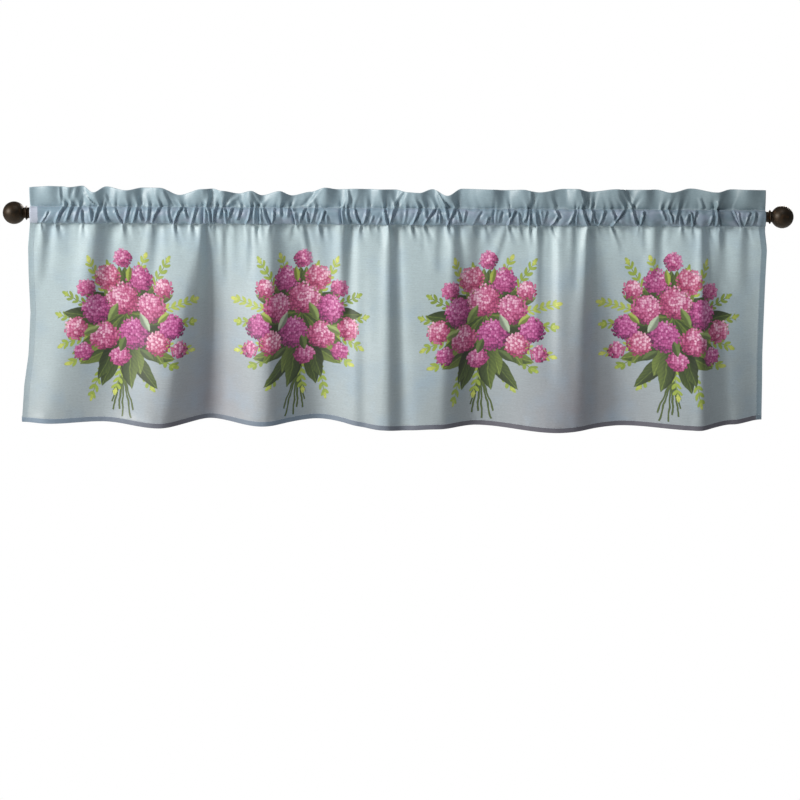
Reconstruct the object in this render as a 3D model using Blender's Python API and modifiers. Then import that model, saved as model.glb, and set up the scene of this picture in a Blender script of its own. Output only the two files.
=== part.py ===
"""Rod-pocket window valance on a plain curtain rod.

One length of cloth is turned up at the hem, runs up the front as skirt, pocket and header,
folds over at the top and comes down the back to the lower seam of the pocket. It hangs on a
tubular rod that is closed by two ball finials.

Axes: +X runs along the rod, the front faces -Y and +Z is up. The origin is on the rod's axis,
half way along the rod. Lengths are in metres; the tables are in millimetres, times MM.
"""

import math
from typing import NamedTuple

import bmesh
import bpy
import numpy as np

MM = 0.001

# Rod
ROD_LENGTH = 1.390
ROD_RADIUS = 0.010
ROD_WALL = 0.001
ROD_STEPS = 48

# Finials: a ball on a neck, a bead against the rod's end, and a spigot inside the rod
BALL_RADIUS = 0.0213
BALL_CENTRE = 0.0270
NECK_RADIUS = 0.0098
BEAD_RADIUS = 0.0134
BEAD_LENGTH = 0.0060
COLLAR_RADIUS = 0.0105
SPIGOT_RADIUS = 0.0087
SPIGOT_LENGTH = 0.024
SPIGOT_CHAMFER = 0.001
ASSEMBLY_GAP = 0.0003
FINIAL_STEPS = 32
BALL_RINGS = 12
BEAD_RINGS = 6

# Cloth: sheet thickness and the heights of its seams and edges, from the rod's axis
SHEET = 0.001
LAYER_HALF_GAP = 0.001
UPPER_SEAM = 0.0128
LOWER_SEAM = -0.0185
HEADER_HEIGHT = 0.036
HEM_TURN = 0.0095
HEM_BEND = 0.001
HEADER_BEND = 0.0013
HEADER_PUFF = 0.0016

# Gathers of the pocket: each crest of the wave is one gather, and crests lean left and right in turn.
# Their size swells and sinks along the rod, by so many radians a column, and dies out at the ends.
GATHERS = 53
GATHER_DEPTH = 0.0024
SEAM_GATHER = 0.0015
GATHER_LEAN = 0.0045
SWELL_MEAN = 0.75
SWELL_RANGE = 0.25
SWELL_TURN = 0.41
SWELL_START = 1.3
FLAT_END_COLUMNS = 3

# How fast the seam's gathers die out down the skirt, and the seam's sway up the pocket, as powers
GATHER_FADE = 6
SWAY_FADE = 1.5

# Colours as linear red, green and blue
CLOTH_COLOUR = (0.42, 0.52, 0.57)
CLOTH_ROUGHNESS = 0.75
BRONZE_COLOUR = (0.03, 0.02, 0.016)
BRONZE_ROUGHNESS = 0.45
BRONZE_METALLIC = 0.6


class EdgeRow(NamedTuple):
    """How far the two side edges stand from the rod's middle, at one height."""

    height: float
    left: float
    right: float


class BroadFold(NamedTuple):
    """One crest (forward, minus) or hollow (backward, plus) of the skirt, from seam to hem."""

    seam_along: float
    hem_along: float
    seam_out: float
    hem_out: float
    hem_level: float


class FoldFlank(NamedTuple):
    """A steep stretch on the right side of a fold, which starts at the seam and fades below it."""

    seam_along: float
    end_along: float
    reach: float
    half_width: float
    rise: float


class Ruffle(NamedTuple):
    """One crest or hollow of the header along its top edge, and the height of the edge there."""

    along: float
    out: float
    height: float


class PocketRow(NamedTuple):
    """One point of the pocket's section: its height and its distance in front of the rod's plane."""

    height: float
    half_depth: float


EDGES = (
    EdgeRow(52, -692.5, 690.0),
    EdgeRow(13, -691.0, 689.5),
    EdgeRow(-12, -691.0, 689.5),
    EdgeRow(-30, -693.5, 690.5),
    EdgeRow(-65, -697.0, 696.0),
    EdgeRow(-120, -697.0, 695.5),
    EdgeRow(-190, -695.0, 695.5),
    EdgeRow(-270, -700.0, 695.5),
    EdgeRow(-330, -709.5, 697.0),
    EdgeRow(-410, -716.0, 698.0),
)

BROAD_FOLDS = (
    BroadFold(-693, -716, 1, 2, -400),
    BroadFold(-573, -662, -5, -12, -401),
    BroadFold(-504, -562, 4, 2, -398),
    BroadFold(-376, -452, -6, -30, -406),
    BroadFold(-350, -357, 5, 30, -395),
    BroadFold(-237, -259, -5, -26, -402),
    BroadFold(-175, -152, 5, 28, -394),
    BroadFold(-17, -26, -6, -29, -407),
    BroadFold(8, 6, 1, -25, -409),
    BroadFold(101, 71, -5, -29, -405),
    BroadFold(135, 140, 4, 14, -402),
    BroadFold(353, 290, -6, -28, -411),
    BroadFold(380, 432, 5, 16, -402),
    BroadFold(570, 574, -5, -20, -406),
    BroadFold(600, 640, 5, 10, -399),
    BroadFold(690, 698, 0, 26, -392),
)

FOLD_FLANKS = (
    FoldFlank(-654, -676, 110, 11, 1.6),
    FoldFlank(-555, -580, 200, 15, 2.6),
    FoldFlank(-448, -466, 100, 12, 2.0),
    FoldFlank(-365, -385, 360, 13, 3.6),
    FoldFlank(-222, -228, 200, 15, 3.0),
    FoldFlank(-175, -140, 150, 11, 2.2),
    FoldFlank(-100, -96, 160, 11, 2.0),
    FoldFlank(-2, 0, 360, 12, 3.0),
    FoldFlank(77, 72, 100, 11, 1.6),
    FoldFlank(109, 122, 220, 13, 3.6),
    FoldFlank(172, 150, 70, 11, 1.6),
    FoldFlank(267, 270, 100, 11, 1.6),
    FoldFlank(333, 336, 70, 11, 1.6),
    FoldFlank(360, 368, 360, 13, 3.6),
    FoldFlank(461, 468, 80, 11, 1.4),
    FoldFlank(511, 502, 60, 11, 1.6),
    FoldFlank(576, 592, 300, 13, 3.6),
    FoldFlank(645, 655, 60, 11, 1.2),
)

HEADER_RUFFLES = (
    Ruffle(-693, 0.0, 48),
    Ruffle(-650, -4.0, 51),
    Ruffle(-636, 1.5, 50),
    Ruffle(-618, -3.0, 49),
    Ruffle(-594, 3.5, 51),
    Ruffle(-572, -5.0, 40),
    Ruffle(-549, 3.0, 50),
    Ruffle(-511, -4.5, 44),
    Ruffle(-480, 4.5, 48),
    Ruffle(-448, -3.5, 49),
    Ruffle(-411, 2.0, 35),
    Ruffle(-368, -4.5, 47),
    Ruffle(-349, 3.0, 47),
    Ruffle(-331, -4.5, 44),
    Ruffle(-300, 4.5, 38),
    Ruffle(-276, -4.0, 44),
    Ruffle(-256, 3.5, 35),
    Ruffle(-222, -4.5, 44),
    Ruffle(-200, 4.0, 35),
    Ruffle(-164, 3.5, 42),
    Ruffle(-137, -5.0, 51),
    Ruffle(-113, 3.5, 47),
    Ruffle(-78, -3.0, 49),
    Ruffle(-56, 2.0, 48),
    Ruffle(-34, -3.5, 48),
    Ruffle(-6, 5.0, 47),
    Ruffle(18, -3.0, 43),
    Ruffle(40, -4.0, 42),
    Ruffle(64, 4.0, 48),
    Ruffle(92, -4.5, 37),
    Ruffle(120, 5.0, 49),
    Ruffle(176, -4.0, 49),
    Ruffle(201, 4.0, 47),
    Ruffle(234, -3.5, 49),
    Ruffle(264, -2.0, 44),
    Ruffle(314, 4.5, 50),
    Ruffle(336, -4.0, 51),
    Ruffle(360, 3.0, 45),
    Ruffle(410, -4.0, 51),
    Ruffle(435, 3.5, 49),
    Ruffle(462, -3.0, 50),
    Ruffle(484, 2.0, 50),
    Ruffle(512, -3.0, 45),
    Ruffle(550, 4.0, 52),
    Ruffle(598, -4.0, 46),
    Ruffle(626, 3.5, 51),
    Ruffle(656, -3.0, 51),
    Ruffle(690, 2.0, 50),
)

POCKET_ROWS = (
    PocketRow(-11.0, 11.4),
    PocketRow(-1.5, 14.7),
    PocketRow(8.5, 11.4),
)

# Shares of the skirt's drop, from the seam down, at which its section has a row
SKIRT_ROWS = (0.74, 0.48, 0.27, 0.11)
HEADER_ROW = 0.45


def remove_objects():
    """Empty the scene that the script starts from."""
    for item in list(bpy.data.objects):
        bpy.data.objects.remove(item, do_unlink=True)


def make_collection(name):
    """Add a collection to the scene."""
    group = bpy.data.collections.new(name)
    bpy.context.scene.collection.children.link(group)
    return group


def make_material(name, colour, roughness, metallic=0.0):
    """A Principled BSDF material of one colour."""
    material = bpy.data.materials.new(name)
    material.use_nodes = True
    shader = material.node_tree.nodes["Principled BSDF"]
    shader.inputs["Base Color"].default_value = (*colour, 1.0)
    shader.inputs["Roughness"].default_value = roughness
    shader.inputs["Metallic"].default_value = metallic
    return material


def smooth_between(at, places, values):
    """Values at places in between, with a level tangent at each given place."""
    spot = np.clip(np.searchsorted(places, at) - 1, 0, len(places) - 2)
    share = np.clip((at - places[spot]) / (places[spot + 1] - places[spot]), 0.0, 1.0)
    ease = share * share * (3.0 - 2.0 * share)
    return values[spot] + (values[spot + 1] - values[spot]) * ease


def column_of(table, name):
    """One named column of a table in millimetres, as metres."""
    return np.array([getattr(row, name) for row in table]) * MM


class ValanceShape:
    """The middle surface of the hanging cloth, a row of points across the rod at a time."""

    def __init__(self):
        self.columns = 2 * GATHERS + 1
        self.count = np.arange(self.columns)
        self.share = self.count / (self.columns - 1)
        from_end = np.minimum(self.count, self.count[::-1])
        calm = np.clip(from_end / FLAT_END_COLUMNS, 0.0, 1.0)
        swell = SWELL_MEAN + SWELL_RANGE * np.sin(SWELL_TURN * self.count + SWELL_START)
        self.gather = np.cos(math.pi * self.count) * swell * calm
        self.lean = np.cos(0.5 * math.pi * self.count) * swell * calm

    def along(self, height):
        """Distance of each column along the rod, between the two side edges at a height."""
        rows = EDGES[::-1]
        heights = column_of(rows, "height")
        left = np.interp(height, heights, column_of(rows, "left"))
        right = np.interp(height, heights, column_of(rows, "right"))
        return left + (right - left) * self.share

    def skirt_out(self, along, depth_share):
        """How far the skirt stands behind the rod's plane: broad folds that grow towards the hem,
        and fold flanks that start at the seam and fade."""
        places = column_of(BROAD_FOLDS, "seam_along")
        places = places + (column_of(BROAD_FOLDS, "hem_along") - places) * depth_share
        growth = 2.0 * depth_share - depth_share**2
        seam_out = column_of(BROAD_FOLDS, "seam_out")
        out = seam_out + (column_of(BROAD_FOLDS, "hem_out") - seam_out) * growth
        total = smooth_between(along, places, out)
        depth = depth_share * self.drop()
        for flank in FOLD_FLANKS:
            fade = max(0.0, 1.0 - depth / (flank.reach * MM))
            place = (flank.end_along + (flank.seam_along - flank.end_along) * fade) * MM
            offset = (along - place) / (flank.half_width * MM)
            bump = offset * np.exp(0.5 - 0.5 * offset**2)
            total = total + flank.rise * MM * math.sqrt(fade) * bump
        return total

    def drop(self):
        """Mean drop of the skirt, from the lower seam to the hem."""
        return LOWER_SEAM - column_of(BROAD_FOLDS, "hem_level").mean()

    def hem_level(self, along):
        """Height of the hem's lower edge."""
        return smooth_between(
            along, column_of(BROAD_FOLDS, "hem_along"), column_of(BROAD_FOLDS, "hem_level")
        )

    def skirt_row(self, depth_share, lift=0.0, behind=0.0):
        """Points across the skirt, at a share of the drop, raised and set back by small amounts."""
        along = self.along(LOWER_SEAM - depth_share * self.drop())
        low = self.hem_level(along)
        height = LOWER_SEAM + (low - LOWER_SEAM) * depth_share + lift
        seam_part = (1.0 - depth_share) ** GATHER_FADE
        out = self.skirt_out(along, depth_share) + behind
        out = out - (self.gather * SEAM_GATHER + LAYER_HALF_GAP) * seam_part
        return np.stack((along, out, height), axis=1)

    def pocket_row(self, height, half_depth, side):
        """Points across the pocket at a height, in front of the rod (side -1) or behind it (1)."""
        rise = (height - LOWER_SEAM) / (UPPER_SEAM - LOWER_SEAM)
        along = self.along(height) + self.lean * GATHER_LEAN * (2.0 * rise - 1.0)
        bulge = math.sin(math.pi * rise)
        below = max(0.0, height / LOWER_SEAM)
        sway = self.skirt_out(self.along(LOWER_SEAM), 0.0) * below**SWAY_FADE
        wave = self.gather * (GATHER_DEPTH * bulge - side * SEAM_GATHER * (1.0 - bulge))
        out = side * (half_depth + wave) + sway
        return np.stack((along, out, np.full(self.columns, height)), axis=1)

    def header_row(self, share, side, bend=0.0):
        """Points across the header, at a share of its height; side 0 is the fold at the top."""
        along = self.along(UPPER_SEAM + share * HEADER_HEIGHT)
        places = column_of(HEADER_RUFFLES, "along")
        top = smooth_between(along, places, column_of(HEADER_RUFFLES, "height"))
        ruffle = smooth_between(along, places, column_of(HEADER_RUFFLES, "out"))
        height = UPPER_SEAM + (top - UPPER_SEAM) * share - bend
        apart = LAYER_HALF_GAP + HEADER_PUFF * math.sin(math.pi * share)
        if bend > 0.0:
            apart = HEADER_BEND
        out = ruffle * share - self.gather * SEAM_GATHER * (1.0 - share) + side * apart
        return np.stack((along, out, height), axis=1)

    def rows(self):
        """All rows in the order in which the cloth runs, from the turned-up hem to the turned edge."""
        found = [
            self.skirt_row(1.0, lift=HEM_TURN, behind=2.0 * HEM_BEND),
            self.skirt_row(1.0, lift=HEM_BEND, behind=2.0 * HEM_BEND),
            self.skirt_row(1.0, behind=HEM_BEND),
            self.skirt_row(1.0, lift=HEM_BEND),
        ]
        found += [self.skirt_row(share) for share in SKIRT_ROWS]
        found.append(self.pocket_row(LOWER_SEAM, LAYER_HALF_GAP, -1))
        found += [self.pocket_row(row.height * MM, row.half_depth * MM, -1) for row in POCKET_ROWS]
        found.append(self.header_row(0.0, -1))
        found.append(self.header_row(HEADER_ROW, -1))
        found.append(self.header_row(1.0, -1, bend=HEADER_BEND))
        found.append(self.header_row(1.0, 0))
        found.append(self.header_row(1.0, 1, bend=HEADER_BEND))
        found.append(self.header_row(HEADER_ROW, 1))
        found.append(self.header_row(0.0, 1))
        found += [self.pocket_row(row.height * MM, row.half_depth * MM, 1) for row in POCKET_ROWS[::-1]]
        found.append(self.pocket_row(LOWER_SEAM, LAYER_HALF_GAP, 1))
        return np.array(found)


def make_cloth(group):
    """The cloth: a grid laid on the rows of its shape, thickened to both sides."""
    rows = ValanceShape().rows()
    count, columns = rows.shape[:2]
    mesh = bpy.data.meshes.new("valance_cloth")
    build = bmesh.new()
    bmesh.ops.create_grid(build, x_segments=columns - 1, y_segments=count - 1, size=1.0)
    for vertex in build.verts:
        column = round((vertex.co.x + 1.0) / 2.0 * (columns - 1))
        row = round((vertex.co.y + 1.0) / 2.0 * (count - 1))
        vertex.co = rows[row, column]
    build.to_mesh(mesh)
    build.free()
    mesh.shade_smooth()
    cloth = bpy.data.objects.new("valance_cloth", mesh)
    group.objects.link(cloth)
    thick = cloth.modifiers.new("sheet", "SOLIDIFY")
    thick.thickness = SHEET
    thick.offset = 0.0
    thick.use_even_offset = True
    mesh.materials.append(make_material("blue_grey_cloth", CLOTH_COLOUR, CLOTH_ROUGHNESS))
    return cloth


def turn_profile(group, name, profile, steps, closed):
    """A profile of (radius, height) points turned about Z."""
    mesh = bpy.data.meshes.new(name)
    points = [(radius, 0.0, height) for radius, height in profile]
    edges = [(spot, spot + 1) for spot in range(len(points) - 1)]
    if closed:
        edges.append((len(points) - 1, 0))
    mesh.from_pydata(points, edges, [])
    turned = bpy.data.objects.new(name, mesh)
    group.objects.link(turned)
    screw = turned.modifiers.new("turn", "SCREW")
    screw.steps = steps
    screw.render_steps = steps
    screw.use_merge_vertices = True
    screw.merge_threshold = 0.00001
    screw.use_smooth_shade = True
    return turned


def make_rod(group):
    """A plain round tube, open at both ends."""
    half = ROD_LENGTH / 2.0
    bore = ROD_RADIUS - ROD_WALL
    profile = [(ROD_RADIUS, half), (ROD_RADIUS, -half), (bore, -half), (bore, half)]
    rod = turn_profile(group, "rod", profile, ROD_STEPS, closed=True)
    rod.rotation_euler = (0.0, math.pi / 2.0, 0.0)
    return rod


def finial_profile():
    """The finial from its outer tip down to its spigot, as (radius, height); height 0 is the rod's end."""
    neck_angle = math.asin(NECK_RADIUS / BALL_RADIUS)
    sweep = math.pi - neck_angle
    points = []
    for ring in range(BALL_RINGS + 1):
        angle = sweep * ring / BALL_RINGS
        points.append((BALL_RADIUS * math.sin(angle), BALL_CENTRE + BALL_RADIUS * math.cos(angle)))
    bead_middle = ASSEMBLY_GAP + BEAD_LENGTH / 2.0
    bead_round = BEAD_RADIUS - NECK_RADIUS
    for turn in range(BEAD_RINGS):
        angle = math.pi * turn / BEAD_RINGS
        radius = NECK_RADIUS + bead_round * math.sin(angle)
        points.append((radius, bead_middle + math.cos(angle) * BEAD_LENGTH / 2.0))
    points.append((COLLAR_RADIUS, ASSEMBLY_GAP))
    points.append((SPIGOT_RADIUS, ASSEMBLY_GAP))
    points.append((SPIGOT_RADIUS, SPIGOT_CHAMFER - SPIGOT_LENGTH))
    points.append((SPIGOT_RADIUS - SPIGOT_CHAMFER, -SPIGOT_LENGTH))
    points.append((0.0, -SPIGOT_LENGTH))
    return points


def make_finial(group, name, side):
    """A ball finial on one end of the rod; side is -1 on the left and 1 on the right."""
    finial = turn_profile(group, name, finial_profile(), FINIAL_STEPS, closed=False)
    finial.rotation_euler = (0.0, side * math.pi / 2.0, 0.0)
    finial.location = (side * ROD_LENGTH / 2.0, 0.0, 0.0)
    return finial


def main():
    """Build the valance, its rod and its finials."""
    remove_objects()
    group = make_collection("window_valance")
    bronze = make_material("bronze_paint", BRONZE_COLOUR, BRONZE_ROUGHNESS, BRONZE_METALLIC)
    make_cloth(group)
    pieces = [make_rod(group), make_finial(group, "finial_left", -1), make_finial(group, "finial_right", 1)]
    for piece in pieces:
        piece.data.materials.append(bronze)


main()
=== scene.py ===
"""Looks of a rod-pocket window valance on its curtain rod.

The valance is one length of light slubbed cloth, printed with four posies, hemmed along its sides
and foot, and gathered on a painted rod by a pocket under a frilled header. It is drawn here as a
thin closed sheet with its folds, creases, hems and stitches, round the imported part.

Axes: +X runs along the rod, the front faces -Y and +Z is up. The origin is on the rod's axis, half
way along the rod. Blender's own units are metres; every table and shape is in millimetres.
"""

import logging
import math
from dataclasses import dataclass, field
from enum import Enum
from functools import partial
from typing import Any, NamedTuple

import bpy
import numpy as np
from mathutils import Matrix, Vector


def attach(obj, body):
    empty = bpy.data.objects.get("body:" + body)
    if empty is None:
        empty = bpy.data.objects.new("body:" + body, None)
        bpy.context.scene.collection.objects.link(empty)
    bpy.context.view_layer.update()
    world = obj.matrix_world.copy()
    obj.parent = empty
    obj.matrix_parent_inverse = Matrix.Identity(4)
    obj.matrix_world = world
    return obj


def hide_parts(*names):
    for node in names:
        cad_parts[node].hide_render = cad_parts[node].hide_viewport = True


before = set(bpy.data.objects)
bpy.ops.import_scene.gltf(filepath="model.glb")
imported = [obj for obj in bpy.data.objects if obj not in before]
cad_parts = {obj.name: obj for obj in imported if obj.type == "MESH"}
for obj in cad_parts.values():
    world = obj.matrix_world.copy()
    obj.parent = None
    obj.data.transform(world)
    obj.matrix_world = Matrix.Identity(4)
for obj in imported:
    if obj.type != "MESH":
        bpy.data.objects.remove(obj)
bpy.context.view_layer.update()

MM = 0.001
LOG = logging.getLogger("valance")

VECTOR = "ShaderNodeVectorMath"
MIX = "ShaderNodeMix"
MAPPING = "ShaderNodeMapping"
SPLIT = "ShaderNodeSeparateXYZ"
NOISE = "ShaderNodeTexNoise"
RAMP = "ShaderNodeValToRGB"
BUMP = "ShaderNodeBump"
PRINCIPLED = "ShaderNodeBsdfPrincipled"

Array = np.ndarray
Tree = bpy.types.NodeTree
Node = bpy.types.Node
Socket = bpy.types.NodeSocket
Material = bpy.types.Material
Object = bpy.types.Object


# ---------------------------------------------------------------------------------------------
# Measures of the hanging cloth: tables in millimetres, whose columns are arrays
# ---------------------------------------------------------------------------------------------


class Edges(NamedTuple):
    """How far the two side edges stand from the rod's middle, at each height."""

    height: Array
    left: Array
    right: Array


class BroadFolds(NamedTuple):
    """Crests (forward, minus) and hollows (backward, plus) of the skirt, from seam to hem."""

    seam_along: Array
    hem_along: Array
    seam_out: Array
    hem_out: Array
    hem_level: Array


class Flanks(NamedTuple):
    """Steep stretches of the skirt from the seam to a reach below it, each with its rise at the
    seam, which fades, and its rise at the end of its reach, which grows. A fall has a negative
    rise."""

    seam_along: Array
    end_along: Array
    reach: Array
    seam_width: Array
    end_width: Array
    rise: Array
    end_rise: Array


class Ruffles(NamedTuple):
    """Crests and hollows of the header along its top edge, and the height of the edge there."""

    along: Array
    out: Array
    height: Array


class PocketCreases(NamedTuple):
    """Creases of the pocket, from foot to top; start and end are shares of the height."""

    top: Array
    foot: Array
    start: Array
    end: Array
    height: Array


class HeaderCreases(NamedTuple):
    """Creases of the header between two points, each a distance along and a share of the height."""

    low_along: Array
    low_share: Array
    high_along: Array
    high_share: Array
    half_width: Array
    height: Array


def by_column(kind: type, *rows: tuple) -> Any:
    """A table of that kind, with one array for each column of the rows."""
    return kind(*np.array(rows, dtype=float).T)


def picked(table: Any, which: Any) -> Any:
    """The table's rows that an index or a slice picks."""
    return type(table)(*(column[which] for column in table))


EDGES = by_column(
    Edges,
    (52, -692.5, 690), (13, -691, 689.5), (-12, -691, 689.5), (-30, -693.5, 690.5), (-65, -697, 696),
    (-120, -697, 695.5), (-190, -695, 695.5), (-270, -700, 695.5), (-330, -709.5, 697),
    (-410, -716, 698),
)

BROAD_FOLDS = by_column(
    BroadFolds,
    (-693, -716, 1, 2, -400), (-573, -662, -5, -12, -401), (-504, -562, 4, 2, -398),
    (-376, -452, -6, -28, -406), (-350, -357, 5, 25, -395), (-237, -259, -5, -22, -402),
    (-175, -152, 5, 24, -394), (-17, -26, -6, -26, -407), (8, 6, 1, -23, -409),
    (101, 76, -5, -27, -405), (137, 150, 4, 9, -402), (353, 303, -6, -26, -411),
    (380, 432, 5, 12, -402), (570, 574, -5, -20, -406), (600, 640, 5, 10, -399),
    (690, 698, 0, 26, -392),
)

FLANKS = by_column(
    Flanks,
    (-660, -673, 113, 9, 9, 2.6, 0), (-625, -625, 56, 6, 6, 0.5, 0), (-557, -582, 220, 18, 23, 6.4, 0),
    (-538, -538, 23, 8, 8, 0.8, 0), (-497, -484, 28, 4, 4, 0.7, 0), (-458, -472, 120, 9, 11, 2.4, 0),
    (-405, -405, 38, 8, 8, 0.5, 0), (-365, -376, 432, 6, 19, 3.5, 1), (-350, -350, 19, 5, 5, 0.7, 0),
    (-339, -339, 19, 4, 4, 0.6, 0), (-328, -328, 113, 6, 6, 1.8, 0), (-305, -305, 75, 6, 6, 0.8, 0),
    (-278, -282, 94, 5, 5, 1.2, 0), (-262, -255, 210, 9, 12, 1, 0), (-231, -224, 432, 18, 20, 4.6, 1),
    (-190, -209, 38, 8, 8, 1, 0), (-177, -152, 150, 5, 7, 1.8, 0), (-143, -143, 28, 6, 6, 0.6, 0),
    (-98, -100, 260, 11, 13, 5.6, 0), (-72, -72, 432, 8, 13, 0, 3), (-47, -34, 41, 5, 5, 1, 0),
    (-12, -2, 432, 9, 18, 3.4, 3.6), (45, 45, 56, 5, 5, 0.9, 0), (77, 73, 94, 8, 8, 1.6, 0),
    (109, 120, 188, 7, 15, 3, 0), (145, 140, 188, 14, 16, 3.4, 0), (180, 158, 56, 9, 9, 1.5, 0),
    (206, 172, 110, 6, 7, 1.4, 0), (231, 231, 47, 6, 6, 0.6, 0), (267, 267, 250, 8, 9, 2.2, 0),
    (296, 298, 300, 10, 12, -3.2, 0), (332, 328, 130, 8, 9, 2, 0), (359, 361, 432, 7, 19, 3.2, 1),
    (421, 421, 56, 8, 8, 0.7, 0), (460, 466, 56, 6, 6, 1.4, 0), (489, 486, 120, 11, 11, 4, 0),
    (513, 506, 47, 8, 8, 1.2, 0), (549, 556, 19, 5, 5, 0.7, 0), (575, 590, 432, 8, 13, 3.4, 1),
    (608, 612, 110, 10, 10, 2.4, 0), (652, 656, 130, 10, 12, 2.2, 0),
)

RUFFLES = by_column(
    Ruffles,
    (-693, 0, 48), (-683, 1, 49), (-654, -2.8, 51), (-632, 0.8, 50), (-618, -3, 49), (-594, 3.5, 51),
    (-572, -5, 40), (-549, 3, 50), (-511, -4.5, 44), (-480, 4.5, 48), (-448, -3.5, 49), (-411, 2, 35),
    (-368, -4.5, 47), (-349, 3, 47), (-331, -4.5, 44), (-300, 4.5, 38), (-276, -4, 44), (-256, 3.5, 35),
    (-222, -4.5, 44), (-200, 4, 35), (-164, 3.5, 42), (-137, -5, 51), (-113, 3.5, 47), (-78, -3, 49),
    (-56, 2, 48), (-34, -3.5, 48), (-6, 5, 47), (18, -3, 43), (40, -4, 42), (64, 4, 48), (92, -4.5, 37),
    (120, 5, 49), (176, -4, 49), (201, 4, 47), (234, -3.5, 49), (264, -2, 44), (314, 4.5, 50),
    (336, -4, 51), (360, 3, 45), (410, -4, 51), (435, 3.5, 49), (462, -3, 50), (484, 2, 50),
    (512, -3, 45), (550, 4, 52), (598, -4, 46), (626, 3.5, 51), (656, -3, 51), (690, 2, 50),
)

POCKET_CREASES = by_column(
    PocketCreases,
    (-654, -672, 0, 0.65, 1), (-627, -644, 0, 1, 2.2), (-614, -628, 0.25, 1, 1.8),
    (-599, -610, 0.2, 1, 1.6), (-595, -593, 0, 0.8, 1.4), (-581, -576, 0.25, 0.9, 1.6),
    (-562, -573, 0.2, 1, 2.4), (-553, -544, 0.1, 1, 1.8), (-533, -519, 0, 1, 1.4),
    (-507, -516, 0, 0.95, 1.8), (-490, -501, 0.1, 1, 2), (-486, -478, 0.3, 1, 1.6),
    (-469, -476, 0.2, 1, 1.6), (-448, -463, 0.1, 1, 2), (-432, -426, 0.2, 1, 1.4),
    (-407, -422, 0, 1, 2.4), (-402, -392, 0.5, 1, 1.6), (-380, -390, 0, 0.9, 1.8),
    (-366, -368, 0.1, 1, -1.8), (-359, -354, 0, 1, 2), (-343, -348, 0, 1, 2.2),
    (-331, -340, 0.5, 1, 1.6), (-328, -324, 0.1, 1, 1.8), (-312, -322, 0.1, 0.9, 1.8),
    (-296, -309, 0.4, 1, 1.8), (-277, -287, 0.1, 0.95, 2.2), (-268, -270, 0, 1, 1.4),
    (-263, -262, 0, 0.9, -2), (-254, -241, 0.1, 0.9, 1.6), (-234, -239, 0.1, 0.9, 1.6),
    (-222, -215, 0.6, 1, 1.4), (-206, -213, 0.6, 1, 1.4), (-203, -195, 0, 1, -2),
    (-175, -186, 0.2, 0.9, 1.8), (-173, -168, 0.2, 0.7, 1.2), (-156, -166, 0.2, 0.95, 1.8),
    (-138, -150, 0, 0.75, 2.2), (-136, -133, 0, 0.5, 1), (-108, -105, 0.1, 1, -2),
    (-97, -90, 0, 1, 1.8), (-83, -71, 0, 0.9, 1.8), (-58, -69, 0.2, 1, 1.8), (-45, -55, 0, 0.5, 1),
    (-32, -40, 0, 0.4, 1), (-27, -19, 0, 1, 2), (-7, -16, 0, 1, 2.4), (15, 9, 0, 1, 0.8),
    (38, 23, 0, 1, 2.4), (50, 58, 0.5, 1, 1.6), (69, 47, 0, 1, 2.2), (73, 68, 0.3, 0.9, 1.2),
    (74, 79, 0.2, 0.95, 1.6), (88, 96, 0.45, 1, 1.8), (106, 91, 0, 1, 2.4), (109, 116, 0.3, 1, 1.4),
    (127, 120, 0.3, 0.8, 1), (158, 140, 0.1, 0.8, 0.9), (178, 162, 0.05, 0.45, 1.6),
    (181, 180, 0.3, 0.9, -1.4), (195, 188, 0.3, 0.8, 1), (206, 213, 0.6, 1, 1.4),
    (221, 206, 0.05, 0.8, 2.2), (223, 227, 0, 0.7, 1.2), (242, 230, 0.35, 1, 1.8), (247, 246, 0, 1, 2),
    (257, 262, 0, 0.7, 1.6), (263, 268, 0.2, 0.9, -1.2), (280, 272, 0.2, 0.8, 0.9),
    (293, 304, 0.6, 1, 1.6), (305, 285, 0, 0.55, 1.8), (332, 315, 0.2, 0.9, 1.4),
    (334, 332, 0.1, 0.95, -1.6), (344, 357, 0, 1, 2.3), (362, 359, 0.3, 1, 1.5),
    (362, 373, 0.3, 0.95, 1.6), (386, 374, 0.1, 0.9, 1.7), (399, 408, 0.4, 0.95, 1.3),
    (425, 399, 0, 0.95, 2.4), (438, 450, 0.2, 1, 2.2), (459, 452, 0.1, 0.85, 2.2),
    (493, 503, 0.5, 1, 1.5), (506, 515, 0.3, 1, 1.7), (526, 517, 0.3, 1, 1.5),
    (526, 532, 0.05, 0.6, 1.5), (546, 552, 0.1, 0.8, 1.8), (548, 539, 0.2, 0.7, 1.4),
    (559, 553, 0.2, 0.9, 1.4), (592, 582, 0, 0.6, 1.6), (593, 593, 0.1, 0.95, -2.2),
    (597, 605, 0, 1, 2.2), (626, 642, 0.1, 0.9, -1.2), (637, 646, 0.2, 0.8, 1),
    (661, 650, 0.1, 0.8, 1.3), (670, 663, 0.1, 0.8, 1.2),
)

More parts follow.
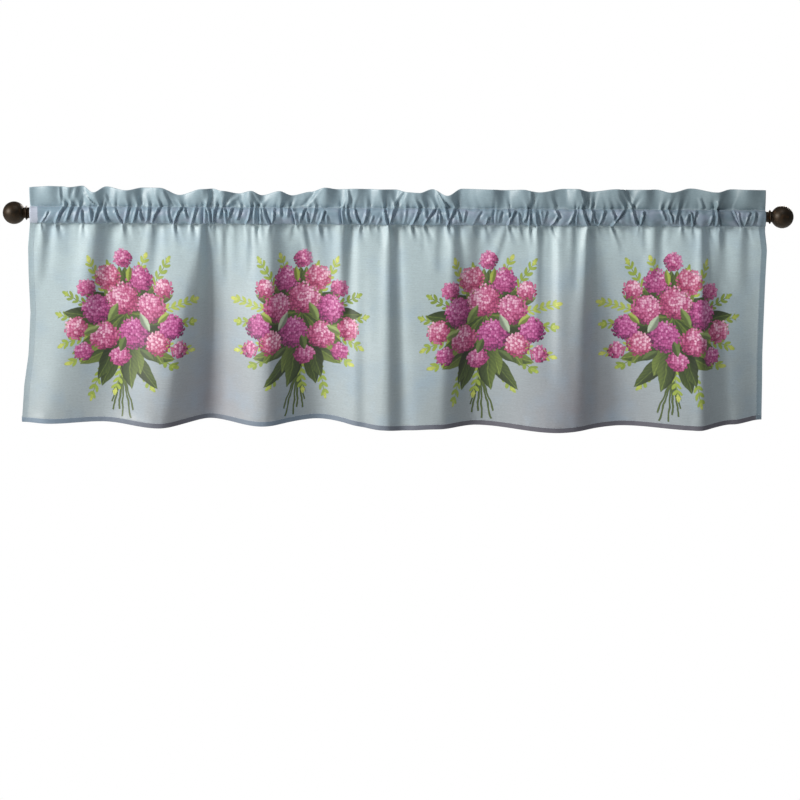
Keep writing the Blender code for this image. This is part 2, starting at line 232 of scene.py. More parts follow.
HEADER_CREASES = by_column(
    HeaderCreases,
    (-566, 0.05, -591, 0.75, 2, 1.4), (-621, 0, -611, 1, 3.5, -1.2), (-425, 0, -442, 0.9, 2, 1.2),
    (-335, 0, -307, 1, 5, -1.4), (-260, 0, -275, 1, 3.5, -1.2), (-181, 0, -156, 1, 4.5, -1.4),
    (-91, 0.05, -96, 1, 2, 1.3), (-10, 0, 7, 1, 2.5, 1.6), (94, 0, 73, 1, 2, 1.8),
    (79, 0, 71, 0.8, 2, 1), (252, 0, 248, 1, 2, 1), (355, 0, 342, 0.95, 2.5, 1.6),
    (440, 0, 421, 1, 2.2, 1.6), (573, 0, 566, 0.6, 2, 1.4), (594, 0, 590, 0.5, 5, -1.4),
    (603, 0, 599, 0.45, 1.8, 1.4), (-634, 0.05, -636, 1, 1.5, 0.8), (-544, 0, -551, 0.6, 2, 1),
    (-350, 0, -358, 1, 3, 0.8),
)


# ---------------------------------------------------------------------------------------------
# Small tools for shapes, meshes and materials
# ---------------------------------------------------------------------------------------------


def ease(share: Array | float) -> Array:
    """Smooth step 3s^2 - 2s^3 of a share that is held between 0 and 1."""
    held = np.clip(share, 0.0, 1.0)
    return held * held * (3.0 - 2.0 * held)


def smooth_between(at: Array, places: Array, values: Array) -> Array:
    """Values at places in between, with a level tangent at each given place.

    Args:
        at: where the values are wanted.
        places: the given places, in rising order.
        values: the value at each given place.

    Returns:
        One value for each entry of at.
    """
    spot = np.clip(np.searchsorted(places, at) - 1, 0, len(places) - 2)
    share = (at - places[spot]) / (places[spot + 1] - places[spot])
    return values[spot] + (values[spot + 1] - values[spot]) * ease(share)


def crease_profile(offset: Array, trough: float = 0.95, beside: float = 1.8) -> Array:
    """Section of a crease: a ridge exp(-d^2) with a trough nearly as deep 1.8 widths to its right."""
    return np.exp(-(offset**2)) - trough * np.exp(-((offset - beside) ** 2))


def linear(code: str) -> tuple[float, float, float, float]:
    """Linear red, green, blue and alpha of an sRGB hex colour, by the sRGB curve.

    Args:
        code: a colour such as "#c8d6db".

    Returns:
        Four numbers from 0 to 1.
    """
    parts = [int(code[spot : spot + 2], 16) / 255.0 for spot in (1, 3, 5)]
    light = [part / 12.92 if part <= 0.04045 else ((part + 0.055) / 1.055) ** 2.4 for part in parts]
    return (*light, 1.0)


def add_node(tree: Tree, kind: str, *inputs: Any, stops: tuple = (), **settings: Any) -> Node:
    """Adds a node with its settings and links.

    Args:
        tree: the node tree that gets the node.
        kind: the node's type name, or in capitals an operation of the Math node.
        inputs: what the inputs in use take, in their order, or one dict of the same by name.
            Each is a value, an output socket, or a node, which stands for its first output in use.
        stops: (position, hex colour) pairs of a colour ramp.
        settings: the node's own properties.

    Returns:
        The new node.
    """
    if kind.isupper():
        settings["operation"], kind = kind, "ShaderNodeMath"
    node = tree.nodes.new(kind)
    for name, value in settings.items():
        setattr(node, name, value)
    if stops:
        points = node.color_ramp.elements
        while len(points) < len(stops):
            points.new(1.0)
        for point, (position, code) in zip(points, stops):
            point.position = position
            point.color = linear(code)
    used = [socket for socket in node.inputs if socket.enabled]
    pairs = zip(used, inputs)
    if inputs and isinstance(inputs[0], dict):
        pairs = [(next(s for s in used if s.name == name), value) for name, value in inputs[0].items()]
    for target, value in pairs:
        if isinstance(value, Node):
            value = next(socket for socket in value.outputs if socket.enabled)
        if isinstance(value, Socket):
            tree.links.new(value, target)
        else:
            target.default_value = value
    return node


def new_material(name: str) -> Material:
    """Makes an empty node material.

    Args:
        name: its name.

    Returns:
        The material.
    """
    material = bpy.data.materials.new(name)
    material.use_nodes = True
    material.node_tree.nodes.clear()
    return material


@dataclass
class Surface:
    """Points and faces of one mesh, in millimetres, with optional UV maps and face materials."""

    points: Array
    faces: list
    maps: dict[str, Array] = field(default_factory=dict)
    looks: Array | None = None

    def make(self, name: str, materials: list, sharp: float = 40.0) -> Object:
        """Makes the object, smooth shaded, at the origin.

        Args:
            name: the piece's name.
            materials: its materials, in the order of looks.
            sharp: the angle in degrees past which an edge stays sharp.

        Returns:
            The new object, in the scene.
        """
        mesh = bpy.data.meshes.new(name)
        mesh.from_pydata(self.points * MM, [], self.faces)
        for title, places in self.maps.items():
            mesh.uv_layers.new(name=title).uv.foreach_set("vector", places.astype(np.float32).ravel())
        if self.looks is not None:
            mesh.polygons.foreach_set("material_index", self.looks.astype(np.int32))
        for material in materials:
            mesh.materials.append(material)
        mesh.shade_smooth()
        mesh.set_sharp_from_angle(angle=math.radians(sharp))
        mesh.update()
        piece = bpy.data.objects.new(name, mesh)
        bpy.context.scene.collection.objects.link(piece)
        return piece


def grid_faces(rows: int, columns: int, around: bool = False) -> Array:
    """Quads of a grid of points that are numbered row by row.

    Args:
        rows: number of rows.
        columns: number of points in a row.
        around: whether each row closes on itself.

    Returns:
        An array of four point numbers for each quad.
    """
    across = np.arange(columns if around else columns - 1)
    low = (np.arange(rows - 1)[:, None] * columns + across).ravel()
    side = (np.arange(rows - 1)[:, None] * columns + (across + 1) % columns).ravel()
    return np.stack((low, side, side + columns, low + columns), axis=1)


# ---------------------------------------------------------------------------------------------
# Shape of the hanging cloth
# ---------------------------------------------------------------------------------------------


class Layer(Enum):
    """The two layers of the heading: which way each stands from the rod's plane."""

    FRONT = -1.0
    BACK = 1.0


class UnevenWave(NamedTuple):
    """A small ripple along the cloth, whose length wanders and whose height swells and dies."""

    height: float
    step: float
    wander: float
    drift: float
    swell: float

    def at(self, along: Array) -> Array:
        """Height at each place x: sin(x / step + wander sin(x / drift)) sin(x / swell), scaled."""
        phase = along / self.step + self.wander * np.sin(along / self.drift)
        return self.height * np.sin(phase) * np.sin(along / self.swell)


class ClothRow(NamedTuple):
    """One row of points across the cloth, whether the mesh takes each second point only, and
    whether a pocket seam runs along it."""

    points: Array
    coarse: bool
    seam: bool = False


@dataclass
class HangingShape:
    """Middle surface of the hanging cloth, row by row from the turned-up hem to the pocket's edge.

    Every row has the same columns. They stand closer together at the side hems and at the
    pocket's creases, and lean with the leading creases where they cross the pocket.

    The hem's bend gives heights over its lower edge with shares of the gap behind the skirt, and
    its front the heights of the rows in front of that gap.
    """

    inner_columns: int = 709
    side_columns: int = 8
    side_step: float = 1.4
    crowding: float = 1.0
    crowd_width: float = 3.5
    lead_gap: float = 6.0
    lead_turn: float = 1.3
    upper_seam: float = 12.8
    lower_seam: float = -18.5
    seam_gap: float = 0.25
    end_gap: float = 0.9
    end_width: float = 12.0
    end_fade: float = 14.0
    sag: UnevenWave = UnevenWave(0.9, 3.1, 1.7, 19.0, 13.0)
    pocket_depth: float = 13.7
    pocket_puff: float = 1.9
    rod_room: float = 10.9
    crease_gain: float = 2.4
    crease_width: float = 1.85
    crease_ease: float = 0.16
    crease_bow: float = 2.2
    wrinkle: float = 0.6
    header_height: float = 36.0
    header_puff: float = 1.6
    header_gain: float = 1.8
    header_calm: float = 0.65
    ruffle_gain: float = 1.6
    fold_radius: float = 0.8
    seam_calm: float = 0.4
    flank_gain: float = 1.25
    flank_width: float = 0.85
    calm_drop: float = 60.0
    hem_bend: tuple = ((9.5, 1.0), (0.8, 1.0), (0.2, 0.85), (0.0, 0.5), (0.2, 0.15))
    hem_front: tuple = (0.8, 4.5, 8.2, 9.2, 10.4)
    hem_end: float = 13.0
    hem_gap: float = 0.8
    corner_gap: float = 1.9
    hem_stitch: float = 9.0
    pucker: UnevenWave = UnevenWave(0.35, 3.7, 2.0, 41.0, 17.0)
    skirt_steps: int = 26
    fine_skirt_steps: int = 5
    pocket_steps: int = 22
    header_steps: int = 9

    def __post_init__(self) -> None:
        """Works out the columns, how they lean, and the gap between the two layers at each."""
        self.share = self.column_shares()
        self.leads = picked(POCKET_CREASES, self.leading_creases())
        across = self.along(0.0)
        places = (across[0], *(self.leads.top + self.leads.foot) / 2.0, across[-1])
        self.lean = np.interp(across, places, (0.0, *(self.leads.top - self.leads.foot), 0.0))
        from_end = np.minimum(across - across[0], across[-1] - across)
        self.corner = 1.0 - ease((from_end - self.end_width) / self.end_fade)
        self.gap = self.seam_gap + (self.end_gap - self.seam_gap) * self.corner
        self.drop = self.lower_seam - BROAD_FOLDS.hem_level.mean()

    def column_shares(self, trials: int = 4000) -> Array:
        """Place of each column as a share of the width: even at the sides, and in between so that
        the spacing falls with 1 plus a bell curve round each crease's middle.

        Args:
            trials: number of even places at which the spacing is worked out.

        Returns:
            The shares, in rising order.
        """
        low, high = EDGES.left[1], EDGES.right[1]
        side = np.arange(self.side_columns + 1) * self.side_step / (high - low)
        trial = np.linspace(side[-1], 1.0 - side[-1], trials)
        middles = (POCKET_CREASES.top + POCKET_CREASES.foot) / 2.0
        offset = (low + (high - low) * trial[:, None] - middles) / self.crowd_width
        crowd = 1.0 + self.crowding * np.minimum(np.exp(-(offset**2)).sum(axis=1), 1.0)
        count = np.cumsum(crowd)
        inner = np.interp(np.linspace(count[0], count[-1], self.inner_columns), count, trial)
        return np.concatenate((side[:-1], inner, 1.0 - side[-2::-1]))

    def leading_creases(self) -> list[int]:
        """The creases that the pocket's columns follow: the longest and highest first, leaving
        out each one that stands too close to, or would cross, one that already leads.

        Returns:
            The numbers of the leading creases, from left to right.
        """
        creases = POCKET_CREASES
        middle, lean = (creases.top + creases.foot) / 2.0, creases.top - creases.foot
        chosen: list[int] = []
        for spot in np.argsort(-np.abs(creases.height) * (creases.end - creases.start), kind="stable"):
            gap, turn = np.abs(middle[spot] - middle[chosen]), np.abs(lean[spot] - lean[chosen])
            if np.all((gap > self.lead_gap) & (turn < self.lead_turn * gap)):
                chosen.append(int(spot))
        return sorted(chosen, key=lambda spot: middle[spot])

    def along(self, height: float, lean: float = 0.0) -> Array:
        """Place of each column along the rod: its share of the way between the two side edges,
        plus a share of the pocket's lean.

        Args:
            height: height of the row.
            lean: share of the lean.

        Returns:
            One place for each column.
        """
        left = np.interp(height, EDGES.height[::-1], EDGES.left[::-1])
        right = np.interp(height, EDGES.height[::-1], EDGES.right[::-1])
        flat = left + (right - left) * self.share
        return flat + lean * self.lean if lean else flat

    def skirt_out(self, along: Array, depth_share: float) -> Array:
        """How far the skirt stands behind the rod's plane: broad folds whose depth grows by
        2s - s^2 and whose places move evenly towards the hem, plus flanks, each an S-shaped step
        t exp(1/2 - t^2/2) whose rise at the seam fades with the root of what is left of its
        reach, and whose rise at the end grows with what is used.

        Args:
            along: places along the rod.
            depth_share: share of the skirt's drop, 0 at the seam and 1 at the hem.

        Returns:
            One distance for each place.
        """
        folds, flanks = BROAD_FOLDS, FLANKS
        places = folds.seam_along + (folds.hem_along - folds.seam_along) * depth_share
        growth = 2.0 * depth_share - depth_share**2
        seam_out = self.seam_calm * folds.seam_out
        out = seam_out + (folds.hem_out - seam_out) * growth
        fade = np.maximum(0.0, 1.0 - depth_share * self.drop / flanks.reach)
        width = flanks.end_width + (self.flank_width * flanks.seam_width - flanks.end_width) * fade
        middle = flanks.end_along + (flanks.seam_along - flanks.end_along) * fade
        offset = (along[:, None] - middle) / width
        rise = flanks.rise * np.sqrt(fade) + flanks.end_rise * (1.0 - fade)
        steps = rise * (fade > 0.0) * offset * np.exp(0.5 - 0.5 * offset**2)
        return smooth_between(along, places, out) + self.flank_gain * steps.sum(axis=1)

    def relief(
        self, along: Array, rise: float, width: float, creases: PocketCreases = POCKET_CREASES
    ) -> Array:
        """Height of the pocket's creases at a share of its height: the crease profile about each
        crease's own slightly bowed line, eased in and out at the crease's ends.

        Args:
            along: places along the rod.
            rise: share of the pocket's height, 0 at the lower seam.
            width: half width, of which each crease takes 0.85 to 1.25.
            creases: the creases that count.

        Returns:
            One height for each place.
        """
        bow = self.crease_bow * np.sin(1.7 * creases.foot) * math.sin(math.pi * rise)
        width = width * (0.85 + 0.4 * np.abs(np.sin(2.3 * creases.foot)))
        line = creases.foot + (creases.top - creases.foot) * rise + bow
        begun = ease((rise - creases.start) / self.crease_ease + 1.0)
        ended = ease((creases.end - rise) / self.crease_ease + 1.0)
        height = self.crease_gain * creases.height * begun * ended
        profile = crease_profile((along[:, None] - line) / width)
        return (height * profile).sum(axis=1) + self.wrinkles(along, rise)

    def wrinkles(self, along: Array, rise: float) -> Array:
        """Small uneven ripples between the creases: a wave of some 16 mm whose phase wanders.

        Args:
            along: places along the rod.
            rise: share of the pocket's height, with which the phase wanders too.

        Returns:
            One height for each place.
        """
        phase = along / 2.6 + 3.0 * np.sin(along / 37.0) + 2.6 * rise * np.sin(along / 29.0)
        swell = 0.5 + 0.5 * np.sin(along / 23.0 + 2.0)
        return self.wrinkle * swell * np.sin(phase)

    def puff(self, along: Array, rise: float) -> Array:
        """Fullness of the pocket between the leading creases: a parabola from one crease's line
        to the next, times a half wave from seam to seam.

        Args:
            along: places along the rod.
            rise: share of the pocket's height.

        Returns:
            One height for each place.
        """
        lines = self.leads.foot + (self.leads.top - self.leads.foot) * rise
        spot = np.clip(np.searchsorted(lines, along) - 1, 0, len(lines) - 2)
        share = np.clip((along - lines[spot]) / (lines[spot + 1] - lines[spot]), 0.0, 1.0)
        return self.pocket_puff * (1.0 - (2.0 * share - 1.0) ** 2) * math.sin(math.pi * rise)

    def seam_wave(self, rise: float, beyond: float = 0.0) -> Array:
        """Height of the creases where they run into a seam. Beyond it they are broader and lower.

        Args:
            rise: 0 at the lower seam, 1 at the upper.
            beyond: distance beyond the seam.

        Returns:
            One height for each column.
        """
        width = self.crease_width * (1.0 + beyond / 14.0)
        return self.relief(self.along(0.0, rise - 0.5), rise, width) * math.exp(-beyond / 16.0)

    def skirt_row(self, depth_share: float, lift: float = 0.0, behind: float | Array = 0.0) -> Array:
        """Points across the skirt: its folds, the seam's wave dying out within some 30 mm, and
        small puckers along the hem's stitches.

        Args:
            depth_share: share of the skirt's drop.
            lift: height above the place that the share gives.
            behind: distance behind the skirt's surface.

        Returns:
            An array of (along, out, height) rows.
        """
        depth = depth_share * self.drop
        calm = max(0.0, 1.0 - depth / self.calm_drop) ** 2
        along = self.along(self.lower_seam - depth, -0.5 * calm)
        low = smooth_between(along, BROAD_FOLDS.hem_along, BROAD_FOLDS.hem_level)
        height = self.lower_seam + (low - self.lower_seam) * depth_share + lift
        height = height + self.sag.at(along) * math.exp(-depth / 7.0)
        from_stitch = abs(self.drop - depth + lift - self.hem_stitch)
        out = self.skirt_out(along, depth_share) + behind
        out = out - self.gap * math.exp(-depth / 6.0) - self.seam_wave(0.0, depth)
        out = out + self.pucker.at(along) * math.exp(-from_stitch / 7.0)
        return np.stack((along, out, height), axis=1)

    def pocket_row(self, turn: float, layer: Layer) -> Array:
        """Points across the pocket: an oval that is pinched at both seams, its depth going with
        cos^0.8 of the turn, with creases and fullness raised from it. Each second crease shows
        behind, broader and upside down.

        Args:
            turn: angle round the pocket, from -90 degrees at the lower seam to 90 at the upper.
            layer: in front of the rod or behind it.

        Returns:
            An array of (along, out, height) rows.
        """
        up, bulge = math.sin(math.radians(turn)), max(0.0, math.cos(math.radians(turn)))
        height = up * (self.upper_seam if up > 0.0 else -self.lower_seam)
        rise = (height - self.lower_seam) / (self.upper_seam - self.lower_seam)
        along = self.along(height, rise - 0.5)
        below = max(0.0, height / self.lower_seam)
        sway = self.skirt_out(self.along(self.lower_seam, -0.5), 0.0) * below**1.5
        depth = self.gap + self.pocket_depth * bulge**0.8
        if layer is Layer.FRONT:
            relief = self.relief(along, rise, self.crease_width) + self.puff(along, rise)
        else:
            second = picked(POCKET_CREASES, slice(None, None, 2))
            turned = self.relief(along, 1.0 - rise, 2.6 * self.crease_width, second)
            wave = self.seam_wave(0.0 if up < 0.0 else 1.0)
            relief = 0.8 * turned * bulge - wave * (1.0 - bulge)
        lifted = height + relief * bulge * up + self.sag.at(along) * (1.0 - bulge)
        room = np.sqrt(np.maximum(0.0, self.rod_room**2 - lifted**2))
        out = layer.value * np.maximum(depth + relief, room) + sway
        return np.stack((along, out, lifted), axis=1)

    def header_row(self, share: float, layer: Layer, turn: float = 0.0) -> Array:
        """Points across the header: the ruffle grows evenly with height, and each crease follows
        its own line. The two layers puff apart by a half wave and join in a small round fold.

        Args:
            share: share of the header's height, 0 at the upper seam.
            layer: front or back.
            turn: angle round the fold at the top, from 0 at the front to 180 at the back.

        Returns:
            An array of (along, out, height) rows.
        """
        above = self.header_height * share
        along = self.along(self.upper_seam + above, 0.5 * (1.0 - ease(1.3 * share)))
        radius = self.fold_radius + 0.2 * self.corner
        top = smooth_between(along, RUFFLES.along, RUFFLES.height) - radius
        height = self.upper_seam + (top - self.upper_seam) * share
        height = height + self.sag.at(along) * math.exp(-above / 6.0)
        out = smooth_between(along, RUFFLES.along, RUFFLES.out) * self.ruffle_gain * share**0.6
        calm = self.header_calm * math.sin(math.pi * share) if layer is Layer.BACK else 0.0
        out = out - self.header_relief(along, share) * (1.0 - calm) - self.seam_wave(1.0, above)
        apart = self.gap * (1.0 - share) + radius * share + self.header_puff * math.sin(math.pi * share)
        apart = apart * layer.value
        if turn:
            apart = radius * -math.cos(math.radians(turn))
            height = height + radius * math.sin(math.radians(turn))
        return np.stack((along, out + apart, height), axis=1)

    def header_relief(self, along: Array, share: float) -> Array:
        """Height of the header's creases: the crease profile about each crease's own line, eased
        in and out within a tenth of the header's height past the crease's ends.

        Args:
            along: places along the rod.
            share: share of the header's height.

        Returns:
            One height for each place.
        """
        creases = HEADER_CREASES
        part = (share - creases.low_share) / (creases.high_share - creases.low_share)
        line = creases.low_along + (creases.high_along - creases.low_along) * part
        begun = ease((share - creases.low_share + 0.1) / 0.2)
        ended = ease((creases.high_share - share + 0.1) / 0.2)
        profile = crease_profile((along[:, None] - line) / (creases.half_width + 0.8))
        return (self.header_gain * creases.height * begun * ended * profile).sum(axis=1)

    def rows(self) -> list[ClothRow]:
        """All rows, in the order in which the cloth runs: hem, skirt, pocket and header in front,
        the fold at the top, then header and pocket behind.

        Returns:
            The rows, coarse wherever the mesh takes each second column only.
        """
        gap = self.hem_gap + (self.corner_gap - self.hem_gap) * self.corner
        found = [ClothRow(self.skirt_row(1.0, lift, gap * part), True) for lift, part in self.hem_bend]
        found += [ClothRow(self.skirt_row(1.0, lift), True) for lift in self.hem_front]
        last = 1.0 - self.hem_end / self.drop
        for step in range(self.skirt_steps, 0, -1):
            share = last * (step / self.skirt_steps) ** 1.4
            found.append(ClothRow(self.skirt_row(share), step > self.fine_skirt_steps))
        turns = np.linspace(-90.0, 90.0, self.pocket_steps + 1)
        for turn in turns:
            found.append(ClothRow(self.pocket_row(turn, Layer.FRONT), False, abs(turn) == turns[-1]))
        front = [(share, 0.0) for share in np.linspace(0.0, 1.0, self.header_steps + 1)[1:]]
        front += [(1.0, 45.0), (1.0, 90.0)]
        back = [(1.0, 135.0), (1.0, 0.0), (0.75, 0.0), (0.5, 0.0), (0.25, 0.0)]
        for layer, places in ((Layer.FRONT, front), (Layer.BACK, back)):
            found += [ClothRow(self.header_row(share, layer, turn), False) for share, turn in places]
        for turn in turns[::-2]:
            row = self.pocket_row(turn, Layer.BACK)
            found.append(ClothRow(row, turn < 80.0, abs(turn) == turns[-1]))
        return found


def grid_normals(points: Array) -> Array:
    """Unit normals of a grid: the cross product of the bisecting directions along the row and
    across the rows, each the sum of the unit steps to the two neighbours.

    Args:
        points: the grid, as rows of columns of points.

    Returns:
        A normal for each point, in the same order.
    """
    directions = []
    for axis in (1, 0):
        step = np.diff(points, axis=axis)
        step = step / np.linalg.norm(step, axis=2, keepdims=True).clip(1e-9)
        before, after = np.zeros((2, 3, 2), int)
        before[axis, 0] = after[axis, 1] = 1
        directions.append(np.pad(step, before) + np.pad(step, after))
    normals = np.cross(directions[0], directions[1])
    return normals / np.linalg.norm(normals, axis=2, keepdims=True).clip(1e-9)


@dataclass
class ClothGrid:
    """The hung cloth with its side hems turned back: points, normals and flat places.

    The flat place of a point is where it lay on the cut cloth: across, by the length along its
    row, scaled to the finished width; and up, by the mean length between rows.
    """

    shape: HangingShape = field(default_factory=HangingShape)
    finished_width: float = 1500.0
    hem_offset: float = 0.55
    bend_out: float = 0.3
    turned_columns: tuple = (8, 5, 1)

    def __post_init__(self) -> None:
        """Works out the grid: each side's turned columns lie inside those of the face, and a
        column between them goes round the bend."""
        rows = self.shape.rows()
        self.coarse = [row.coarse for row in rows]
        self.seam_rows = [spot for spot, row in enumerate(rows) if row.seam]
        face = np.array([row.points for row in rows])
        inside = -grid_normals(face) * self.hem_offset
        turned_in = face + inside
        left = turned_in[:, self.turned_columns]
        right = turned_in[:, [-1 - column for column in self.turned_columns[::-1]]]
        bends = []
        for edge, inner in ((0, 1), (-1, -2)):
            outward = face[:, edge] - face[:, inner]
            outward = outward / np.linalg.norm(outward, axis=1, keepdims=True)
            bends.append((face[:, edge] + 0.5 * inside[:, edge] + self.bend_out * outward)[:, None])
        self.points = np.concatenate((left, bends[0], face, bends[1], right), axis=1)
        self.normals = grid_normals(self.points)
        self.edge = len(self.turned_columns) + 1
        self.across = self.flat_across()
        self.up = self.flat_up()

    def flat_across(self) -> Array:
        """Measures along each row, scaled to the finished width.

        Returns:
            Distance of each point from the finished left edge, on the flat cloth.
        """
        step = np.linalg.norm(np.diff(self.points, axis=1), axis=2)
        length = np.pad(np.cumsum(step, axis=1), ((0, 0), (1, 0)))
        left, right = length[:, self.edge, None], length[:, -1 - self.edge, None]
        return (length - left) / (right - left) * self.finished_width

    def flat_up(self) -> Array:
        """Measures up the cloth, by the mean step from row to row.

        Returns:
            Distance of each row from the foot of the cloth, on the flat cloth.
        """
        inner = self.points[:, self.edge : -self.edge]
        step = np.linalg.norm(np.diff(inner, axis=0), axis=2).mean(axis=1)
        length = np.concatenate(((0.0,), np.cumsum(step)))
        foot = int(np.argmin(inner[: len(length) // 4, :, 2].mean(axis=1)))
        return length - length[foot]


# ---------------------------------------------------------------------------------------------
# Printed cloth
# ---------------------------------------------------------------------------------------------


class ClothSide(Enum):
    """The printed right side of the cloth, or its wrong side, where the print only shows through."""

    RIGHT = "right"
    WRONG = "wrong"


class Bloom(NamedTuple):
    """A round bloom of the posy: its centre, its radius, and its tone from 0, dark, to 1, light."""

    across: float
    up: float
    radius: float
    tone: float


class TuckedLeaf(NamedTuple):
    """A single leaf over the blooms: its middle, its turn in degrees, half its length and width."""

    across: float
    up: float
    turn: float
    half_length: float
    half_width: float
    colour: str


@dataclass(frozen=True)
class Ring:
    """Things that radiate from one point of the posy, one to a sector, each with its own length,
    lean and curl by chance. Lengths are in millimetres, turn is in degrees."""

    centre: tuple[float, float]
    count: int
    inner: float
    length: float
    half_width: float
    turn: float
    seed: float
    sway: float = 0.5
    curl: float = 8.0


class Ray(NamedTuple):
    """Nodes for the nearest thing of a ring: share of its length, distance from its midline,
    its length, and three chance numbers."""

    share: Node
    across: Node
    length: Node
    chances: Node


BLOOMS = (
    Bloom(-4, 50, 33, 0.62),
    Bloom(-57, 30, 30, 0.38),
    Bloom(52, 36, 30, 0.58),
    Bloom(-30, 92, 26, 0.70),
    Bloom(33, 90, 27, 0.42),
    Bloom(-96, -6, 24, 0.66),
    Bloom(92, 0, 26, 0.34),
    Bloom(-42, -22, 29, 0.60),
    Bloom(17, -14, 32, 0.34),
    Bloom(64, -30, 25, 0.68),
    Bloom(2, 128, 19, 0.50),
    Bloom(-74, 72, 19, 0.52),
    Bloom(79, 74, 20, 0.64),
    Bloom(-10, -60, 21, 0.48),
    Bloom(-80, -52, 19, 0.42),
    Bloom(108, -44, 17, 0.52),
)

TUCKED_LEAVES = (
    TuckedLeaf(-24, 24, 62, 21, 8, "#8aa05a"),
    TuckedLeaf(38, 8, -58, 20, 8, "#b9c9ae"),
    TuckedLeaf(12, 98, 80, 17, 6.5, "#a3b34c"),
    TuckedLeaf(-66, -10, 24, 18, 7, "#9aae68"),
    TuckedLeaf(44, -52, -32, 19, 8, "#5f7240"),
    TuckedLeaf(76, 18, 38, 15, 6, "#a9ba5a"),
    TuckedLeaf(-7, -36, 72, 17, 8, "#6b7f47"),
)


